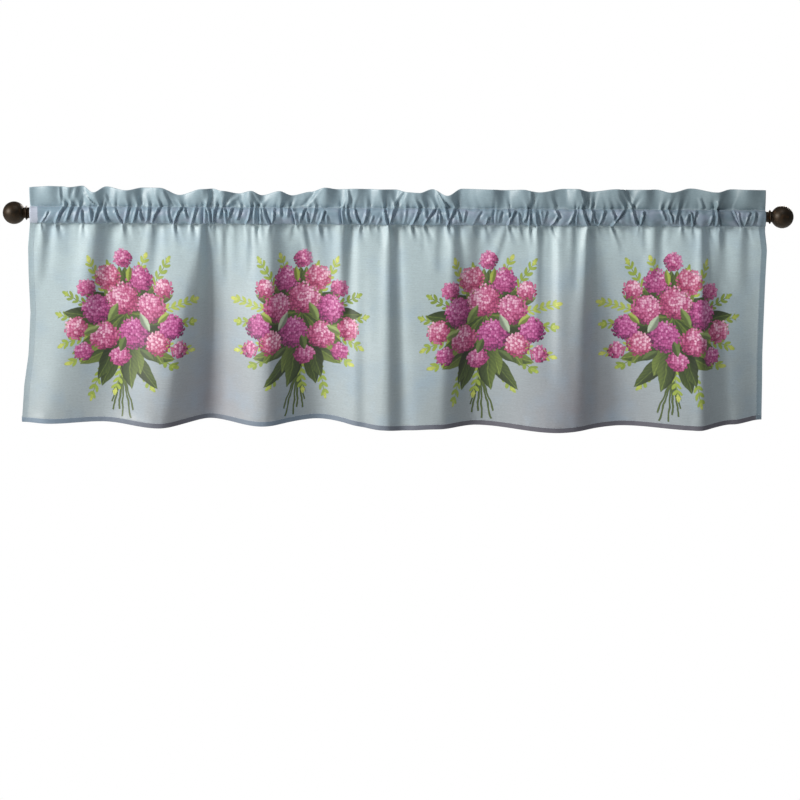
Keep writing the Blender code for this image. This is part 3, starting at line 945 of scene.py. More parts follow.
@dataclass
class PosyPrint:
    """A round hand-tied posy of mop-headed blooms, as a node group on flat millimetres.

    Its layers are laid one on another as a printer lays inks: stems, sprigs, four rings of
    leaves, blooms, and a few tucked leaves. A layer is a mask and a colour. Each outline lies
    where a form reaches 1: the mask there is what is left to 1 times a steepness, held between
    0 and 1.
    """

    floret: float = 4.6
    leaf_greens: tuple = ((0.0, "#222c16"), (0.4, "#43532a"), (0.75, "#72843c"), (1.0, "#a3b25e"))
    sprig_greens: tuple = ((0.0, "#6f8436"), (0.5, "#9cb048"), (1.0, "#cfd46a"))
    petals: tuple = (
        (0.0, "#4a1436"),
        (0.28, "#8a2a62"),
        (0.52, "#b6437e"),
        (0.75, "#cf74a6"),
        (1.0, "#f2c8de"),
    )
    leaf_rings: tuple = (
        Ring((0, -34), 10, 22, 88, 15.0, 40.0, 11.0, sway=0.25, curl=12.0),
        Ring((0, 24), 14, 0, 92, 17.0, 5.0, 21.0, curl=4.0),
        Ring((0, 2), 7, 34, 78, 16.0, 38.0, 9.0, sway=0.35),
        Ring((0, 2), 7, 34, 84, 17.0, 12.0, 3.0, sway=0.35),
    )
    sprigs: Ring = Ring((0, 0), 15, 62, 82, 3.2, 4.0, 7.0, sway=0.4, curl=12.0)
    sprig_spacing: float = 13.0
    sprig_slant: float = math.radians(36.0)
    sprig_leaf: float = 14.5
    bud_size: tuple[float, float] = (8.0, 4.2)
    stems: Ring = Ring((0, -96), 40, 0, 72, 1.9, 2.0, 5.0, curl=1.5)
    stem_cone: float = 0.36
    tie_half: float = 5.0
    bloom_height: float = 0.93
    wander: float = 7.0
    wander_size: float = 22.0

    def __post_init__(self) -> None:
        """Opens the node group, whose Vector input is in millimetres from the posy's middle."""
        self.tree = bpy.data.node_groups.new("posy_print", "ShaderNodeTree")
        self.add = partial(add_node, self.tree)
        self.tree.interface.new_socket("Vector", in_out="INPUT", socket_type="NodeSocketVector")
        self.tree.interface.new_socket("Colour", in_out="OUTPUT", socket_type="NodeSocketColor")
        self.tree.interface.new_socket("Ink", in_out="OUTPUT", socket_type="NodeSocketFloat")
        self.point = self.wandered(self.add("NodeGroupInput").outputs["Vector"])

    def group(self) -> Tree:
        """Lays the layers one on another.

        Returns:
            The print as a node group with outputs Colour and Ink, which is 1 where the posy
            covers the ground.
        """
        layers = [self.stem_layer(), self.sprig_layer()]
        layers += [self.leaf_layer(ring) for ring in self.leaf_rings]
        layers.append(self.bloom_layer())
        layers += [self.tucked_layer(leaf) for leaf in TUCKED_LEAVES]
        ink, colour = layers[0]
        for mask, shade in layers[1:]:
            colour = self.add(MIX, mask, colour, shade, data_type="RGBA")
            ink = self.add("MAXIMUM", ink, mask)
        self.add("NodeGroupOutput", colour, ink)
        return self.tree

    def wandered(self, point: Socket) -> Node:
        """Moves a point by up to half the wander with soft noise, so that nothing looks ruled.

        Args:
            point: the point.

        Returns:
            The moved point.
        """
        noise = self.add(NOISE, {"Vector": point, "Scale": 1.0 / self.wander_size, "Detail": 2.0})
        shift = self.add(VECTOR, noise.outputs["Color"], (0.5,) * 3, operation="SUBTRACT")
        reach = (self.wander, self.wander, 0.0)
        return self.add(VECTOR, shift, reach, point, operation="MULTIPLY_ADD")

    def ray(self, ring: Ring) -> Ray:
        """Finds the point's place on the nearest thing of a ring: the sector by its angle, then
        the polar place turned by the thing's lean, and its midline curled by the share squared.
        A thing is 0.7 to 1.2 times as long as the ring says.

        Args:
            ring: the ring.

        Returns:
            The place along and across the thing.
        """
        add, per_turn = self.add, ring.count / (2.0 * math.pi)
        turned = {"Vector": self.point, "Location": (*ring.centre, 0)}
        turned["Rotation"] = (0, 0, math.radians(ring.turn))
        turned = add(MAPPING, turned, vector_type="TEXTURE")
        parts = add(SPLIT, turned)
        angle = add("ARCTAN2", parts.outputs["Y"], parts.outputs["X"])
        place = add("MULTIPLY_ADD", angle, per_turn, ring.count / 2)
        seed = add("ADD", add("FLOOR", place), ring.seed)
        chance = add("ShaderNodeTexWhiteNoise", {"W": seed}, noise_dimensions="1D")
        chances = add(SPLIT, chance.outputs["Color"])
        part = add("FRACT", place)
        lean = add("MULTIPLY_ADD", chances.outputs["X"], ring.sway, -0.5 - ring.sway / 2.0)
        around = add("MULTIPLY", add("ADD", part, lean), 1.0 / per_turn)
        radius = add(VECTOR, turned, operation="LENGTH")
        along = add("MULTIPLY_ADD", radius, add("COSINE", around), -ring.inner)
        across = add("MULTIPLY", radius, add("SINE", around))
        length = add("MULTIPLY_ADD", chances.outputs["Y"], ring.length * 0.5, ring.length * 0.7)
        share = add("DIVIDE", along, length)
        squared = add("MULTIPLY", share, share)
        curl = add("MULTIPLY_ADD", chances.outputs["Z"], 2.0 * ring.curl, -ring.curl)
        return Ray(share, add("MULTIPLY_ADD", squared, curl, across), length, chances)

    def toned(self, tone: Node, weights: tuple, stops: tuple) -> Node:
        """A ramp's colour at a tone.

        Args:
            tone: the tone to start from.
            weights: (node or socket, weight) pairs that are added to it.
            stops: the ramp's stops.

        Returns:
            The ramp.
        """
        for part, weight in weights:
            tone = self.add("MULTIPLY_ADD", part, weight, tone)
        return self.add(RAMP, tone, stops=stops)

    def leaf_layer(self, ring: Ring) -> tuple[Node, Node]:
        """A ring of broad leaves, of the form (2s - 1)^2 + |y|, s being the share of a leaf's
        length to the power 0.8 and y the distance from its midrib in half widths. One half is
        lighter than the other, the midrib is pale and side veins run slantwise.

        Args:
            ring: the ring of leaves.

        Returns:
            The layer's mask and colour.
        """
        add, ray = self.add, self.ray(ring)
        side = add("DIVIDE", ray.across, ring.half_width)
        apart = add("ABSOLUTE", side)
        share = add("POWER", ray.share, 0.8)
        span = add("MULTIPLY_ADD", share, 2.0, -1.0)
        form = add("MULTIPLY_ADD", span, span, apart)
        mask = add("MULTIPLY_ADD", form, -14.0, 14.0, use_clamp=True)
        vein = add("SINE", add("MULTIPLY_ADD", share, 58.0, add("MULTIPLY_ADD", apart, -14.0, 0.0)))
        rib = add("MULTIPLY_ADD", apart, -9.0, 1.0, use_clamp=True)
        lit = add("MAXIMUM", add("MULTIPLY_ADD", side, 1.2, 0.0), -0.5)
        lit = add("MINIMUM", lit, 0.5)
        tone = add("MULTIPLY_ADD", ray.chances.outputs["Z"], 0.42, 0.06)
        weights = ((share, 0.3), (lit, 0.3), (vein, 0.035), (rib, 0.28))
        return mask, self.toned(tone, weights, self.leaf_greens)

    def sprig_layer(self) -> tuple[Node, Node]:
        """A ring of sprigs: thin stalks with evenly spaced pairs of small slanting leaves and a
        bud at the tip, leaves and buds being ovals, of the form x^2 + y^2 in their half sizes.

        Returns:
            The layer's mask and colour.
        """
        add, ray = self.add, self.ray(self.sprigs)
        sine, cosine = math.sin(self.sprig_slant), math.cos(self.sprig_slant)
        apart = add("ABSOLUTE", ray.across)
        stalk = add("MULTIPLY_ADD", apart, -1.6, 1.9, use_clamp=True)
        along = add("MULTIPLY", ray.share, ray.length)
        part = add("FRACT", add("DIVIDE", along, self.sprig_spacing))
        part = add("MULTIPLY", part, self.sprig_spacing)
        lean = add("MULTIPLY_ADD", apart, sine, add("MULTIPLY", part, cosine))
        wide = add("MULTIPLY_ADD", apart, cosine, add("MULTIPLY", part, -sine))
        span = add("MULTIPLY_ADD", lean, 2.0 / self.sprig_leaf, -1.1)
        wide = add("MULTIPLY", wide, 1.0 / self.sprigs.half_width)
        wide = add("MULTIPLY", wide, wide)
        form = add("MULTIPLY_ADD", span, span, wide)
        leaf = add("MULTIPLY_ADD", form, -5.0, 5.0, use_clamp=True)
        green = add("MAXIMUM", stalk, leaf)
        begun = add("GREATER_THAN", ray.share, 0.0)
        within = add("MULTIPLY", begun, add("LESS_THAN", ray.share, 1.0))
        green = add("MULTIPLY", green, within)
        tip = add("MULTIPLY", add("SUBTRACT", along, ray.length), 1.0 / self.bud_size[0])
        broad = add("MULTIPLY", apart, 1.0 / self.bud_size[1])
        broad = add("MULTIPLY", broad, broad)
        form = add("MULTIPLY_ADD", tip, tip, broad)
        bud = add("MULTIPLY_ADD", form, -4.0, 4.0, use_clamp=True)
        mask = add("MAXIMUM", green, bud)
        tone = add("MULTIPLY", ray.chances.outputs["X"], 0.5)
        return mask, self.toned(tone, ((leaf, 0.18), (bud, 0.4)), self.sprig_greens)

    def stem_layer(self) -> tuple[Node, Node]:
        """The stems: a ring of thin rays about the tie, kept to a narrow cone above and below it.

        Returns:
            The layer's mask and colour.
        """
        add, ray = self.add, self.ray(self.stems)
        form = add("DIVIDE", add("ABSOLUTE", ray.across), self.stems.half_width)
        stem = add("MULTIPLY_ADD", form, -3.0, 3.4, use_clamp=True)
        from_tie = add(VECTOR, self.point, (*self.stems.centre, 0), operation="SUBTRACT")
        across, up, _ = add(SPLIT, from_tie).outputs
        wide = add("ABSOLUTE", across)
        room = add("MULTIPLY_ADD", add("ABSOLUTE", up), self.stem_cone, self.tie_half)
        cone = add("LESS_THAN", wide, room)
        cut = add("LESS_THAN", ray.share, 1.0)
        mask = add("MULTIPLY", add("MULTIPLY", stem, cone), cut)
        tone = add("MULTIPLY_ADD", form, -0.35, 0.6)
        return mask, self.toned(tone, (), self.leaf_greens)

    def bloom_layer(self) -> tuple[Node, Node]:
        """The blooms. The print is split in round florets, the cells of a Voronoi pattern. Each
        floret takes its bloom and its light from where its own centre lies, so that a bloom's rim
        is scalloped by whole florets. A bloom is lit as a ball, from the upper left.

        Returns:
            The layer's mask and colour.
        """
        add = self.add
        scaled = add(VECTOR, self.point, 1.0 / self.floret, operation="SCALE")
        cells = {"Vector": scaled, "Scale": 1.0, "Randomness": 0.8}
        cells = add("ShaderNodeTexVoronoi", cells, voronoi_dimensions="2D")
        centre = add(VECTOR, cells.outputs["Position"], self.floret, operation="SCALE")
        nearest, place = None, None
        for bloom in BLOOMS:
            ball = {"Vector": centre, "Location": (bloom.across, bloom.up, -bloom.tone)}
            ball["Scale"] = (bloom.radius, bloom.radius * self.bloom_height, 1.0)
            ball = add(MAPPING, ball, vector_type="TEXTURE")
            far = add(VECTOR, ball, (0, 0, bloom.tone), operation="DISTANCE")
            if nearest is None:
                nearest, place = far, ball
                continue
            closer = add("LESS_THAN", far, nearest)
            place = add(MIX, closer, place, ball, data_type="VECTOR")
            nearest = add("MINIMUM", nearest, far)
        across, up, light = add(SPLIT, place).outputs
        within = add("LESS_THAN", nearest, 1.0)
        well_in = add("LESS_THAN", nearest, 0.86)
        petal = add("MULTIPLY_ADD", cells.outputs["Distance"], -7.0, 4.2, use_clamp=True)
        mask = add("MAXIMUM", add("MULTIPLY", within, petal), well_in)
        dome = add("MULTIPLY", nearest, nearest)
        chance = add(SPLIT, cells.outputs["Color"]).outputs["X"]
        heart = add("MULTIPLY_ADD", cells.outputs["Distance"], -4.0, 1.0, use_clamp=True)
        tone = add("MULTIPLY_ADD", light, 0.55, 0.02)
        weights = ((dome, -0.26), (across, -0.14), (up, 0.18), (chance, 0.4), (petal, 0.22))
        colour = self.toned(tone, (*weights, (heart, 0.14)), self.petals)
        hue = add("MULTIPLY_ADD", light, 0.11, 0.445)
        hue = {"Hue": hue, "Color": colour, "Saturation": 0.97}
        return mask, add("ShaderNodeHueSaturation", hue)

    def tucked_layer(self, leaf: TuckedLeaf) -> tuple[Node, Node]:
        """One leaf over the blooms, of the form x^2 + |y| in its half sizes, one half darker.

        Args:
            leaf: the leaf.

        Returns:
            The layer's mask and colour.
        """
        add = self.add
        own = {"Vector": self.point, "Location": (leaf.across, leaf.up, 0)}
        own["Rotation"] = (0, 0, math.radians(leaf.turn))
        own["Scale"] = (leaf.half_length, leaf.half_width, 1)
        along, side, _ = add(SPLIT, add(MAPPING, own, vector_type="TEXTURE")).outputs
        form = add("MULTIPLY_ADD", along, along, add("ABSOLUTE", side))
        mask = add("MULTIPLY_ADD", form, -7.0, 7.0, use_clamp=True)
        lit = add("MULTIPLY_ADD", side, 2.5, 0.5, use_clamp=True)
        light = linear(leaf.colour)
        dark = (*(part * 0.42 for part in light[:3]), 1.0)
        return mask, add(MIX, lit, dark, light, data_type="RGBA")


@dataclass(frozen=True)
class PrintedCloth:
    """Slubbed polyester in a plain weave, with the posies printed on its right side.

    To the eye: a soft, slightly silky blue-grey with fine streaks across, where single threads
    are thicker. Its doubled parts, the heading and the hems, look darker, because the single
    skirt lets light through and they don't; here that darkness is painted shade in their colour,
    deepening towards the right over the heading as a painted fall-off of light. A pale painted
    highlight marks the pocket's left end, and random mauve patches paint the pocket's shine.
    """

    skirt_height: float
    header_foot: float
    top: str = "#b7cacf"
    middle: str = "#b1c1c5"
    foot: str = "#a3aeb2"
    wash: str = "#98989f"
    blue: str = "#94aec4"
    # Painted shade: the doubled heading and pocket lack the light that comes through the single skirt, so
    # they are painted darker, and darker still towards the right as a painted fall-off of the light.
    heading: tuple = ((0.55, "#95abb5"), (1.0, "#7d9097"))
    pocket: tuple = ((0.55, "#869ead"), (1.0, "#6d818d"))
    # Painted highlight: a pale mauve patch at the pocket's left end, where light catches its turned side
    # hem.
    pocket_end_highlight: str = "#bcc3d3"
    # Painted reflection: mauve patches laid at random by noise over the pocket, for the purplish cast of
    # its shine.
    lilac_sheen: str = "#9aa2b8"
    # Painted shade: the doubled foot hem is painted darker than the skirt, changing along it between
    # blue-grey and purple-grey.
    hem: tuple = ((0.05, "#7b8c9d"), (0.2, "#64636d"), (0.36, "#7b8c9d"), (0.6, "#64636d"))
    # Painted shade of the doubled side hems.
    side_hem_shade: str = "#6e8593"
    wrong_side: str = "#c3ced2"
    show_through: float = 0.25
    roughness: float = 0.45
    sheen: float = 0.25
    repeat: float = 375.0
    posy_height: float = 190.0
    hem_width: float = 9.5
    side_width: float = 11.0
    width: float = 1500.0
    thread: float = 1.1
    slub: tuple[float, float] = (26.0, 1.6)
    blue_size: float = 65.0
    cloud_size: float = 90.0
    lilac_sheen_size: float = 24.0

    def make(self, side: ClothSide, posy: Tree) -> Material:
        """Makes the material of one side.

        Args:
            side: right or wrong.
            posy: the posy's node group.

        Returns:
            The material, whose patterns read the UV map named flat, in metres.
        """
        material = new_material(f"printed_slub_cloth_{side.value}_side")
        tree = material.node_tree
        add = partial(add_node, tree)
        flat = add(VECTOR, add("ShaderNodeUVMap", uv_map="flat"), 1.0 / MM, operation="SCALE")
        parts = add(SPLIT, flat)
        local = add("PINGPONG", parts.outputs["X"], self.repeat)
        colour = self.ground(tree, parts, flat, local)
        local = add("SUBTRACT", local, self.repeat / 2)
        up = add("SUBTRACT", parts.outputs["Y"], self.posy_height)
        local = add("ShaderNodeCombineXYZ", local, up)
        ink = add("ShaderNodeGroup", local, node_tree=posy)
        weave, strength = self.weave(tree, flat), ink.outputs["Ink"]
        if side is ClothSide.WRONG:
            colour = add(MIX, 0.45, colour, linear(self.wrong_side), data_type="RGBA")
            strength = add("MULTIPLY", strength, self.show_through)
        colour = add(MIX, strength, colour, ink.outputs["Colour"], data_type="RGBA")
        worn = add("MULTIPLY_ADD", weave, 0.7, 0.65)
        colour = add(VECTOR, colour, worn, operation="SCALE")
        bump = add(BUMP, {"Strength": 0.35, "Distance": 0.0003, "Height": weave})
        shader = {
            "Base Color": colour,
            "Roughness": self.roughness,
            "Sheen Weight": self.sheen,
            "Sheen Roughness": 0.4,
            "Specular IOR Level": 0.7,
            "Normal": bump,
        }
        shader = add(PRINCIPLED, shader)
        add("ShaderNodeOutputMaterial", {"Surface": shader})
        return material

    def weave(self, tree: Tree, flat: Node) -> Node:
        """Height of the weave: slubs, long thin streaks across the cloth, over fine threads. Real
        threads are a third of a millimetre apart, too fine to show, so they are drawn a
        millimetre apart.

        Args:
            tree: the material's node tree.
            flat: the place on the flat cloth.

        Returns:
            The height, from 0 to 1.
        """
        add = partial(add_node, tree)
        long = {"Vector": flat, "Scale": (1.0 / self.slub[0], 1.0 / self.slub[1], 1.0)}
        long = add(MAPPING, long, vector_type="POINT")
        slubs = add(NOISE, {"Vector": long, "Scale": 1.0, "Detail": 3.0, "Roughness": 0.6})
        fine = {"Vector": flat, "Scale": (1.0 / (4.0 * self.thread), 1.0 / self.thread, 1.0)}
        fine = add(MAPPING, fine, vector_type="POINT")
        threads = add(NOISE, {"Vector": fine, "Scale": 1.0, "Detail": 1.0})
        return add("MULTIPLY", add("ADD", slubs, threads), 0.5)

    def ground(self, tree: Tree, parts: Node, flat: Node, local: Node) -> Node:
        """The printed ground: a ramp from head to foot with soft cloudy patches, some of them
        bluer, and more purple low down at one side of each posy. Over the heading and the hems
        it is darker, painted shade for doubled cloth that lets no light through, and over the
        heading that painted shade deepens towards the right. A pale painted highlight marks the
        pocket's left end, and random mauve patches paint the purplish cast of the pocket's shine.

        Args:
            tree: the material's node tree.
            parts: the place on the flat cloth, split into across and up.
            flat: the same place as a vector.
            local: distance across within a repeat, which is mirrored in turn.

        Returns:
            The ground's colour.
        """
        add = partial(add_node, tree)
        across, up = parts.outputs["X"], parts.outputs["Y"]
        share = add("DIVIDE", up, self.skirt_height)
        colour = add(RAMP, share, stops=((0.0, self.foot), (0.55, self.middle), (1.0, self.top)))
        beside = add("POWER", add("DIVIDE", local, self.repeat), 2.0)
        low = add("MULTIPLY_ADD", share, -1.3, 1.15, use_clamp=True)
        wash = add("MULTIPLY", beside, low, use_clamp=True)
        colour = add(MIX, wash, colour, linear(self.wash), data_type="RGBA")
        blue = add(NOISE, {"Vector": flat, "Scale": 1.0 / self.blue_size, "Detail": 3.0})
        blue = add("MULTIPLY_ADD", blue, 3.2, -1.5, use_clamp=True)
        blue = add("MULTIPLY", blue, 0.45)
        colour = add(MIX, blue, colour, linear(self.blue), data_type="RGBA")
        clouds = add(NOISE, {"Vector": flat, "Scale": 1.0 / self.cloud_size, "Detail": 2.0})
        clouds = add("MULTIPLY_ADD", clouds, 0.2, 0.9)
        colour = add(VECTOR, colour, clouds, operation="SCALE")
        heading = add("GREATER_THAN", up, self.skirt_height)
        header = add("GREATER_THAN", up, self.header_foot)
        # Painted reflection: random mauve patches over the pocket, for the purplish cast of its shine.
        lilac_sheen_mask = add(NOISE, {"Vector": flat, "Scale": 1.0 / self.lilac_sheen_size, "Detail": 2.0})
        lilac_sheen_mask = add("MULTIPLY_ADD", lilac_sheen_mask, 2.0, -0.9, use_clamp=True)
        # Painted shade of the doubled pocket and header, deepening towards the right.
        share = add("DIVIDE", across, self.width)
        pocket = add(RAMP, share, stops=self.pocket)
        pocket = add(MIX, lilac_sheen_mask, pocket, linear(self.lilac_sheen), data_type="RGBA")
        header_painted_shade = add(RAMP, share, stops=self.heading)
        # Painted shade over the doubled foot hem.
        hem = add("LESS_THAN", up, self.hem_width)
        hem_painted_shade = add(RAMP, share, stops=self.hem)
        right = add("GREATER_THAN", across, self.width - self.side_width)
        left = add("LESS_THAN", across, self.side_width)
        # Painted highlight at the pocket's left end.
        pale = add("MULTIPLY", left, heading)
        # Painted shade over the skirt's side hems, weaker at the left, none over the heading.
        sides = add("MAXIMUM", add("MULTIPLY", left, 0.35), right)
        sides = add("MULTIPLY", add("MULTIPLY_ADD", heading, -0.7, 0.7), sides)
        for mask, shade in (
            (heading, pocket),
            (pale, linear(self.pocket_end_highlight)),
            (header, header_painted_shade),
            (hem, hem_painted_shade),
            (sides, linear(self.side_hem_shade)),
        ):
            colour = add(MIX, mask, colour, shade, data_type="RGBA")
        return colour


@dataclass(frozen=True)
class SewingThread:
    """Spun polyester thread: a pale, dull, slightly fuzzy line of short stitches."""

    tones: tuple = ((0.3, "#b9c6cd"), (0.7, "#d6e0e4"))
    ply: float = 0.5
    roughness: float = 0.7

    def make(self) -> Material:
        """Makes the thread, with the twist of its plies as fine noise.

        Returns:
            The material.
        """
        material = new_material("spun_sewing_thread")
        add = partial(add_node, material.node_tree)
        place = add("ShaderNodeTexCoord").outputs["Object"]
        noise = add(NOISE, {"Vector": place, "Scale": 1.0 / (self.ply * MM)})
        colour = add(RAMP, noise, stops=self.tones)
        shader = add(PRINCIPLED, {"Base Color": colour, "Roughness": self.roughness, "Sheen Weight": 0.2})
        add("ShaderNodeOutputMaterial", {"Surface": shader})
        return material


@dataclass
class Stitching:
    """Straight stitches as small spindles of thread, all joined in one mesh."""

    pitch: float = 2.8
    length: float = 2.2
    radius: float = 0.22
    sides: int = 4
    centres: list = field(default_factory=list)
    frames: list = field(default_factory=list)

    def sew(self, points: Array, normals: Array) -> None:
        """Adds a line of stitches, evenly spaced by length.

        Args:
            points: places along the line, on the cloth.
            normals: the cloth's outward normals there.
        """
        step = np.linalg.norm(np.diff(points, axis=0), axis=1)
        length = np.concatenate(((0.0,), np.cumsum(step)))
        places = np.arange(self.pitch, length[-1] - self.pitch / 2.0, self.pitch)

        def at(spots: Array, values: Array) -> Array:
            """Values at distances along the line."""
            return np.stack([np.interp(spots, length, values[:, axis]) for axis in range(3)], axis=1)

        start, end = at(places - self.length / 2.0, points), at(places + self.length / 2.0, points)
        along = end - start
        along = along / np.linalg.norm(along, axis=1, keepdims=True)
        side = np.cross(at(places, normals), along)
        side = side / np.linalg.norm(side, axis=1, keepdims=True)
        self.centres.append((start + end) / 2.0)
        self.frames.append(np.stack((along, side, np.cross(along, side)), axis=1))

    def make(self, name: str, material: Material) -> Object:
        """Makes all stitches: rings of points about each stitch's line, closed by a point at
        each end, where the thread dips into the cloth.

        Args:
            name: name of the object.
            material: the thread.

        Returns:
            One object with all stitches.
        """
        turns = np.arange(self.sides) * 2.0 * math.pi / self.sides
        rings = []
        for place, size in ((-0.5, 0.0), (-0.34, 0.8), (0.0, 1.0), (0.34, 0.8), (0.5, 0.0)):
            angle = turns if size else turns[:1]
            along = np.full(len(angle), place * self.length)
            around = (np.cos(angle) * size * self.radius, np.sin(angle) * size * self.radius)
            rings.append(np.stack((along, *around), axis=1))
        template = np.concatenate(rings)
        quads = grid_faces(3, self.sides, around=True) + 1
        last = len(template) - 1
        start, end = np.arange(self.sides), np.arange(self.sides) + last - self.sides
        after = (start + 1) % self.sides
        first_fan = np.stack((np.zeros(self.sides, int), after + 1, start + 1), axis=1)
        last_fan = np.stack((np.full(self.sides, last), end, after + last - self.sides), axis=1)
        centres, frames = np.concatenate(self.centres), np.concatenate(self.frames)
        points = centres[:, None, :] + np.einsum("tk,nkj->ntj", template, frames)
        base = np.arange(len(centres))[:, None, None] * len(template)
        faces = (quads + base).reshape(-1, 4).tolist()
        for fan in (first_fan, last_fan):
            faces += (fan + base).reshape(-1, 3).tolist()
        return Surface(points.reshape(-1, 3), faces).make(name, [material])


@dataclass
class ValanceCloth:
    """The whole cloth: a closed thin sheet on the hanging shape, and its stitches."""

    thickness: float = 0.35
    flat_size: tuple[float, float] = (1.524, 0.555)
    bake_edge: float = 0.01
    hem_levels: tuple[float, float, float] = (1.0, -8.0, 9.0)
    side_seam: int = 7
    stitch_lift: float = 0.1
    grid: ClothGrid = field(default_factory=ClothGrid)

    def build(self) -> list[Object]:
        """Returns:
            The cloth and its stitches.
        """
        posy = PosyPrint().group()
        lower, upper = self.grid.up[self.grid.seam_rows[0]], self.grid.up[self.grid.seam_rows[1]]
        cloth_print = PrintedCloth(skirt_height=float(lower), header_foot=float(upper))
        looks = [cloth_print.make(side, posy) for side in ClothSide]
        cloth = self.shell().make("valance_sheet", looks, sharp=80.0)
        stitches = self.stitched().make("valance_stitches", SewingThread().make())
        for piece in (cloth, stitches):
            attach(piece, "root")
        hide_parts("valance_cloth")
        return [cloth, stitches]

    def numbering(self) -> tuple[list[Array], Array, Array]:
        """Numbers the grid's points that the mesh takes.

        Returns:
            The point numbers of each row, and the row and the column of every point.
        """
        columns = self.grid.points.shape[1]
        taken = [np.arange(0, columns, 2 if coarse else 1) for coarse in self.grid.coarse]
        starts = np.concatenate(((0,), np.cumsum([len(row) for row in taken])))
        numbers = [start + np.arange(len(row)) for start, row in zip(starts, taken)]
        row_of = np.concatenate([np.full(len(row), spot) for spot, row in enumerate(taken)])
        return numbers, row_of, np.concatenate(taken)

    def strips(self, numbers: list[Array], middle_points: Array) -> Array:
        """Triangles between neighbouring rows: two to each step where both rows have the same
        columns, split along the shorter diagonal, and three where one row has half as many.

        Args:
            numbers: the point numbers of each row.
            middle_points: the points.

        Returns:
            The triangles, as point numbers.
        """
        triangles = []
        for low, high in zip(numbers[:-1], numbers[1:]):
            if len(low) == len(high):
                ring = np.stack((low[:-1], low[1:], high[1:], high[:-1]), axis=1)
                corner = middle_points[ring]
                rising = np.linalg.norm(corner[:, 0] - corner[:, 2], axis=1)
                falling = np.linalg.norm(corner[:, 1] - corner[:, 3], axis=1)
                ring = np.where((rising <= falling)[:, None], ring, np.roll(ring, -1, axis=1))
                triangles += [ring[:, (0, 1, 2)], ring[:, (0, 2, 3)]]
            elif len(low) < len(high):
                left, middle, right = high[:-2:2], high[1::2], high[2::2]
                triangles.append(np.stack((low[:-1], middle, left), axis=1))
                triangles.append(np.stack((low[:-1], low[1:], middle), axis=1))
                triangles.append(np.stack((low[1:], right, middle), axis=1))
            else:
                left, middle, right = low[:-2:2], low[1::2], low[2::2]
                triangles.append(np.stack((left, middle, high[:-1]), axis=1))
                triangles.append(np.stack((middle, high[1:], high[:-1]), axis=1))
                triangles.append(np.stack((middle, right, high[1:]), axis=1))
        return np.concatenate(triangles)

    def shell(self) -> Surface:
        """The closed sheet: the grid moved half a thickness out and in, with a rim round it.

        Returns:
            The surface, with the UV maps flat, in metres, and OFBake, in the unit square.
        """
        grid = self.grid
        numbers, row_of, column_of = self.numbering()
        middle, normal = grid.points[row_of, column_of], grid.normals[row_of, column_of]
        half = normal * self.thickness / 2.0
        count = len(middle)
        flat = np.stack((grid.across[row_of, column_of], grid.up[row_of]), axis=1) * MM
        right = self.strips(numbers, middle)
        wrong = right[:, ::-1]
        rim = self.rim(numbers)
        border = np.stack((rim[:, 0], rim[:, 1], rim[:, 1] + count, rim[:, 0] + count), axis=1)
        faces = [*right.tolist(), *(wrong + count).tolist(), *border.tolist()]
        spots = np.concatenate((right.ravel(), wrong.ravel()))
        bake = self.bake_places(flat)
        layers = bake[spots]
        layers[right.size :, 1] -= 0.5
        outward = bake[border % count] + self.rim_shift(bake, border, count)
        maps = {
            "flat": np.concatenate((flat[spots], flat[(border % count).ravel()])),
            "OFBake": np.concatenate((layers, outward.reshape(-1, 2))),
        }
        looks = np.concatenate((np.zeros(len(right)), np.ones(len(wrong)), np.zeros(len(border))))
        return Surface(np.concatenate((middle + half, middle - half)), faces, maps, looks)

    def rim(self, numbers: list[Array]) -> Array:
        """Edges of the cut, clockwise as seen from the right side.

        Args:
            numbers: the point numbers of each row.

        Returns:
            Pairs of point numbers.
        """
        foot, head = numbers[0], numbers[-1]
        left = np.array([row[0] for row in numbers])
        right = np.array([row[-1] for row in numbers])
        runs = (foot[::-1], left, head, right[::-1])
        return np.concatenate([np.stack((run[:-1], run[1:]), axis=1) for run in runs])

    def bake_places(self, flat: Array) -> Array:
        """Fits flat places to the upper half of the unit square, inside a narrow border.

        Args:
            flat: the places on the flat cloth.

        Returns:
            The places on the bake map.
        """
        low, high = flat.min(axis=0), flat.max(axis=0)
        share = (flat - low) / (high - low)
        edge = self.bake_edge
        return share * (1.0 - 2.0 * edge, 0.5 - 2.0 * edge) + (edge, 0.5 + edge)

    def rim_shift(self, bake: Array, border: Array, count: int) -> Array:
        """Moves the inner points of the rim's faces outwards on the bake map, so that the rim lies
        as a narrow strip beside the sheet.

        Args:
            bake: places of the sheet's points on the bake map.
            border: the rim's faces, as point numbers.
            count: number of points in one layer.

        Returns:
            The shift of each corner of each face.
        """
        start, end = bake[border[:, 0]], bake[border[:, 1]]
        along = (end - start) / np.linalg.norm(end - start, axis=1, keepdims=True).clip(1e-9)
        out = np.stack((-along[:, 1], along[:, 0]), axis=1) * self.bake_edge / 4.0
        return np.where((border >= count)[..., None], out[:, None, :], 0.0)

    def stitched(self) -> Stitching:
        """Sews both pocket seams through both layers, the foot hem and the side hems.

        Returns:
            The stitches, just off the cloth's surface.
        """
        grid, stitching, edge = self.grid, Stitching(), self.grid.edge
        places = grid.points + grid.normals * (self.thickness / 2.0 + self.stitch_lift)
        lower, upper, back_upper, last = grid.seam_rows
        foot, hem_back, hem_front = (int(np.argmin(np.abs(grid.up - at))) for at in self.hem_levels)
        for row in (hem_back, hem_front, lower, upper, back_upper, last - 1):
            stitching.sew(places[row, edge:-edge], grid.normals[row, edge:-edge])
        for column in (edge + self.side_seam, 1, -edge - self.side_seam - 1, -2):
            stitching.sew(places[foot:lower, column], grid.normals[foot:lower, column])
        return stitching


# ---------------------------------------------------------------------------------------------
# Rod and finials
# ---------------------------------------------------------------------------------------------


class End(Enum):
    """The two ends of the rod."""

    LEFT = -1
    RIGHT = 1


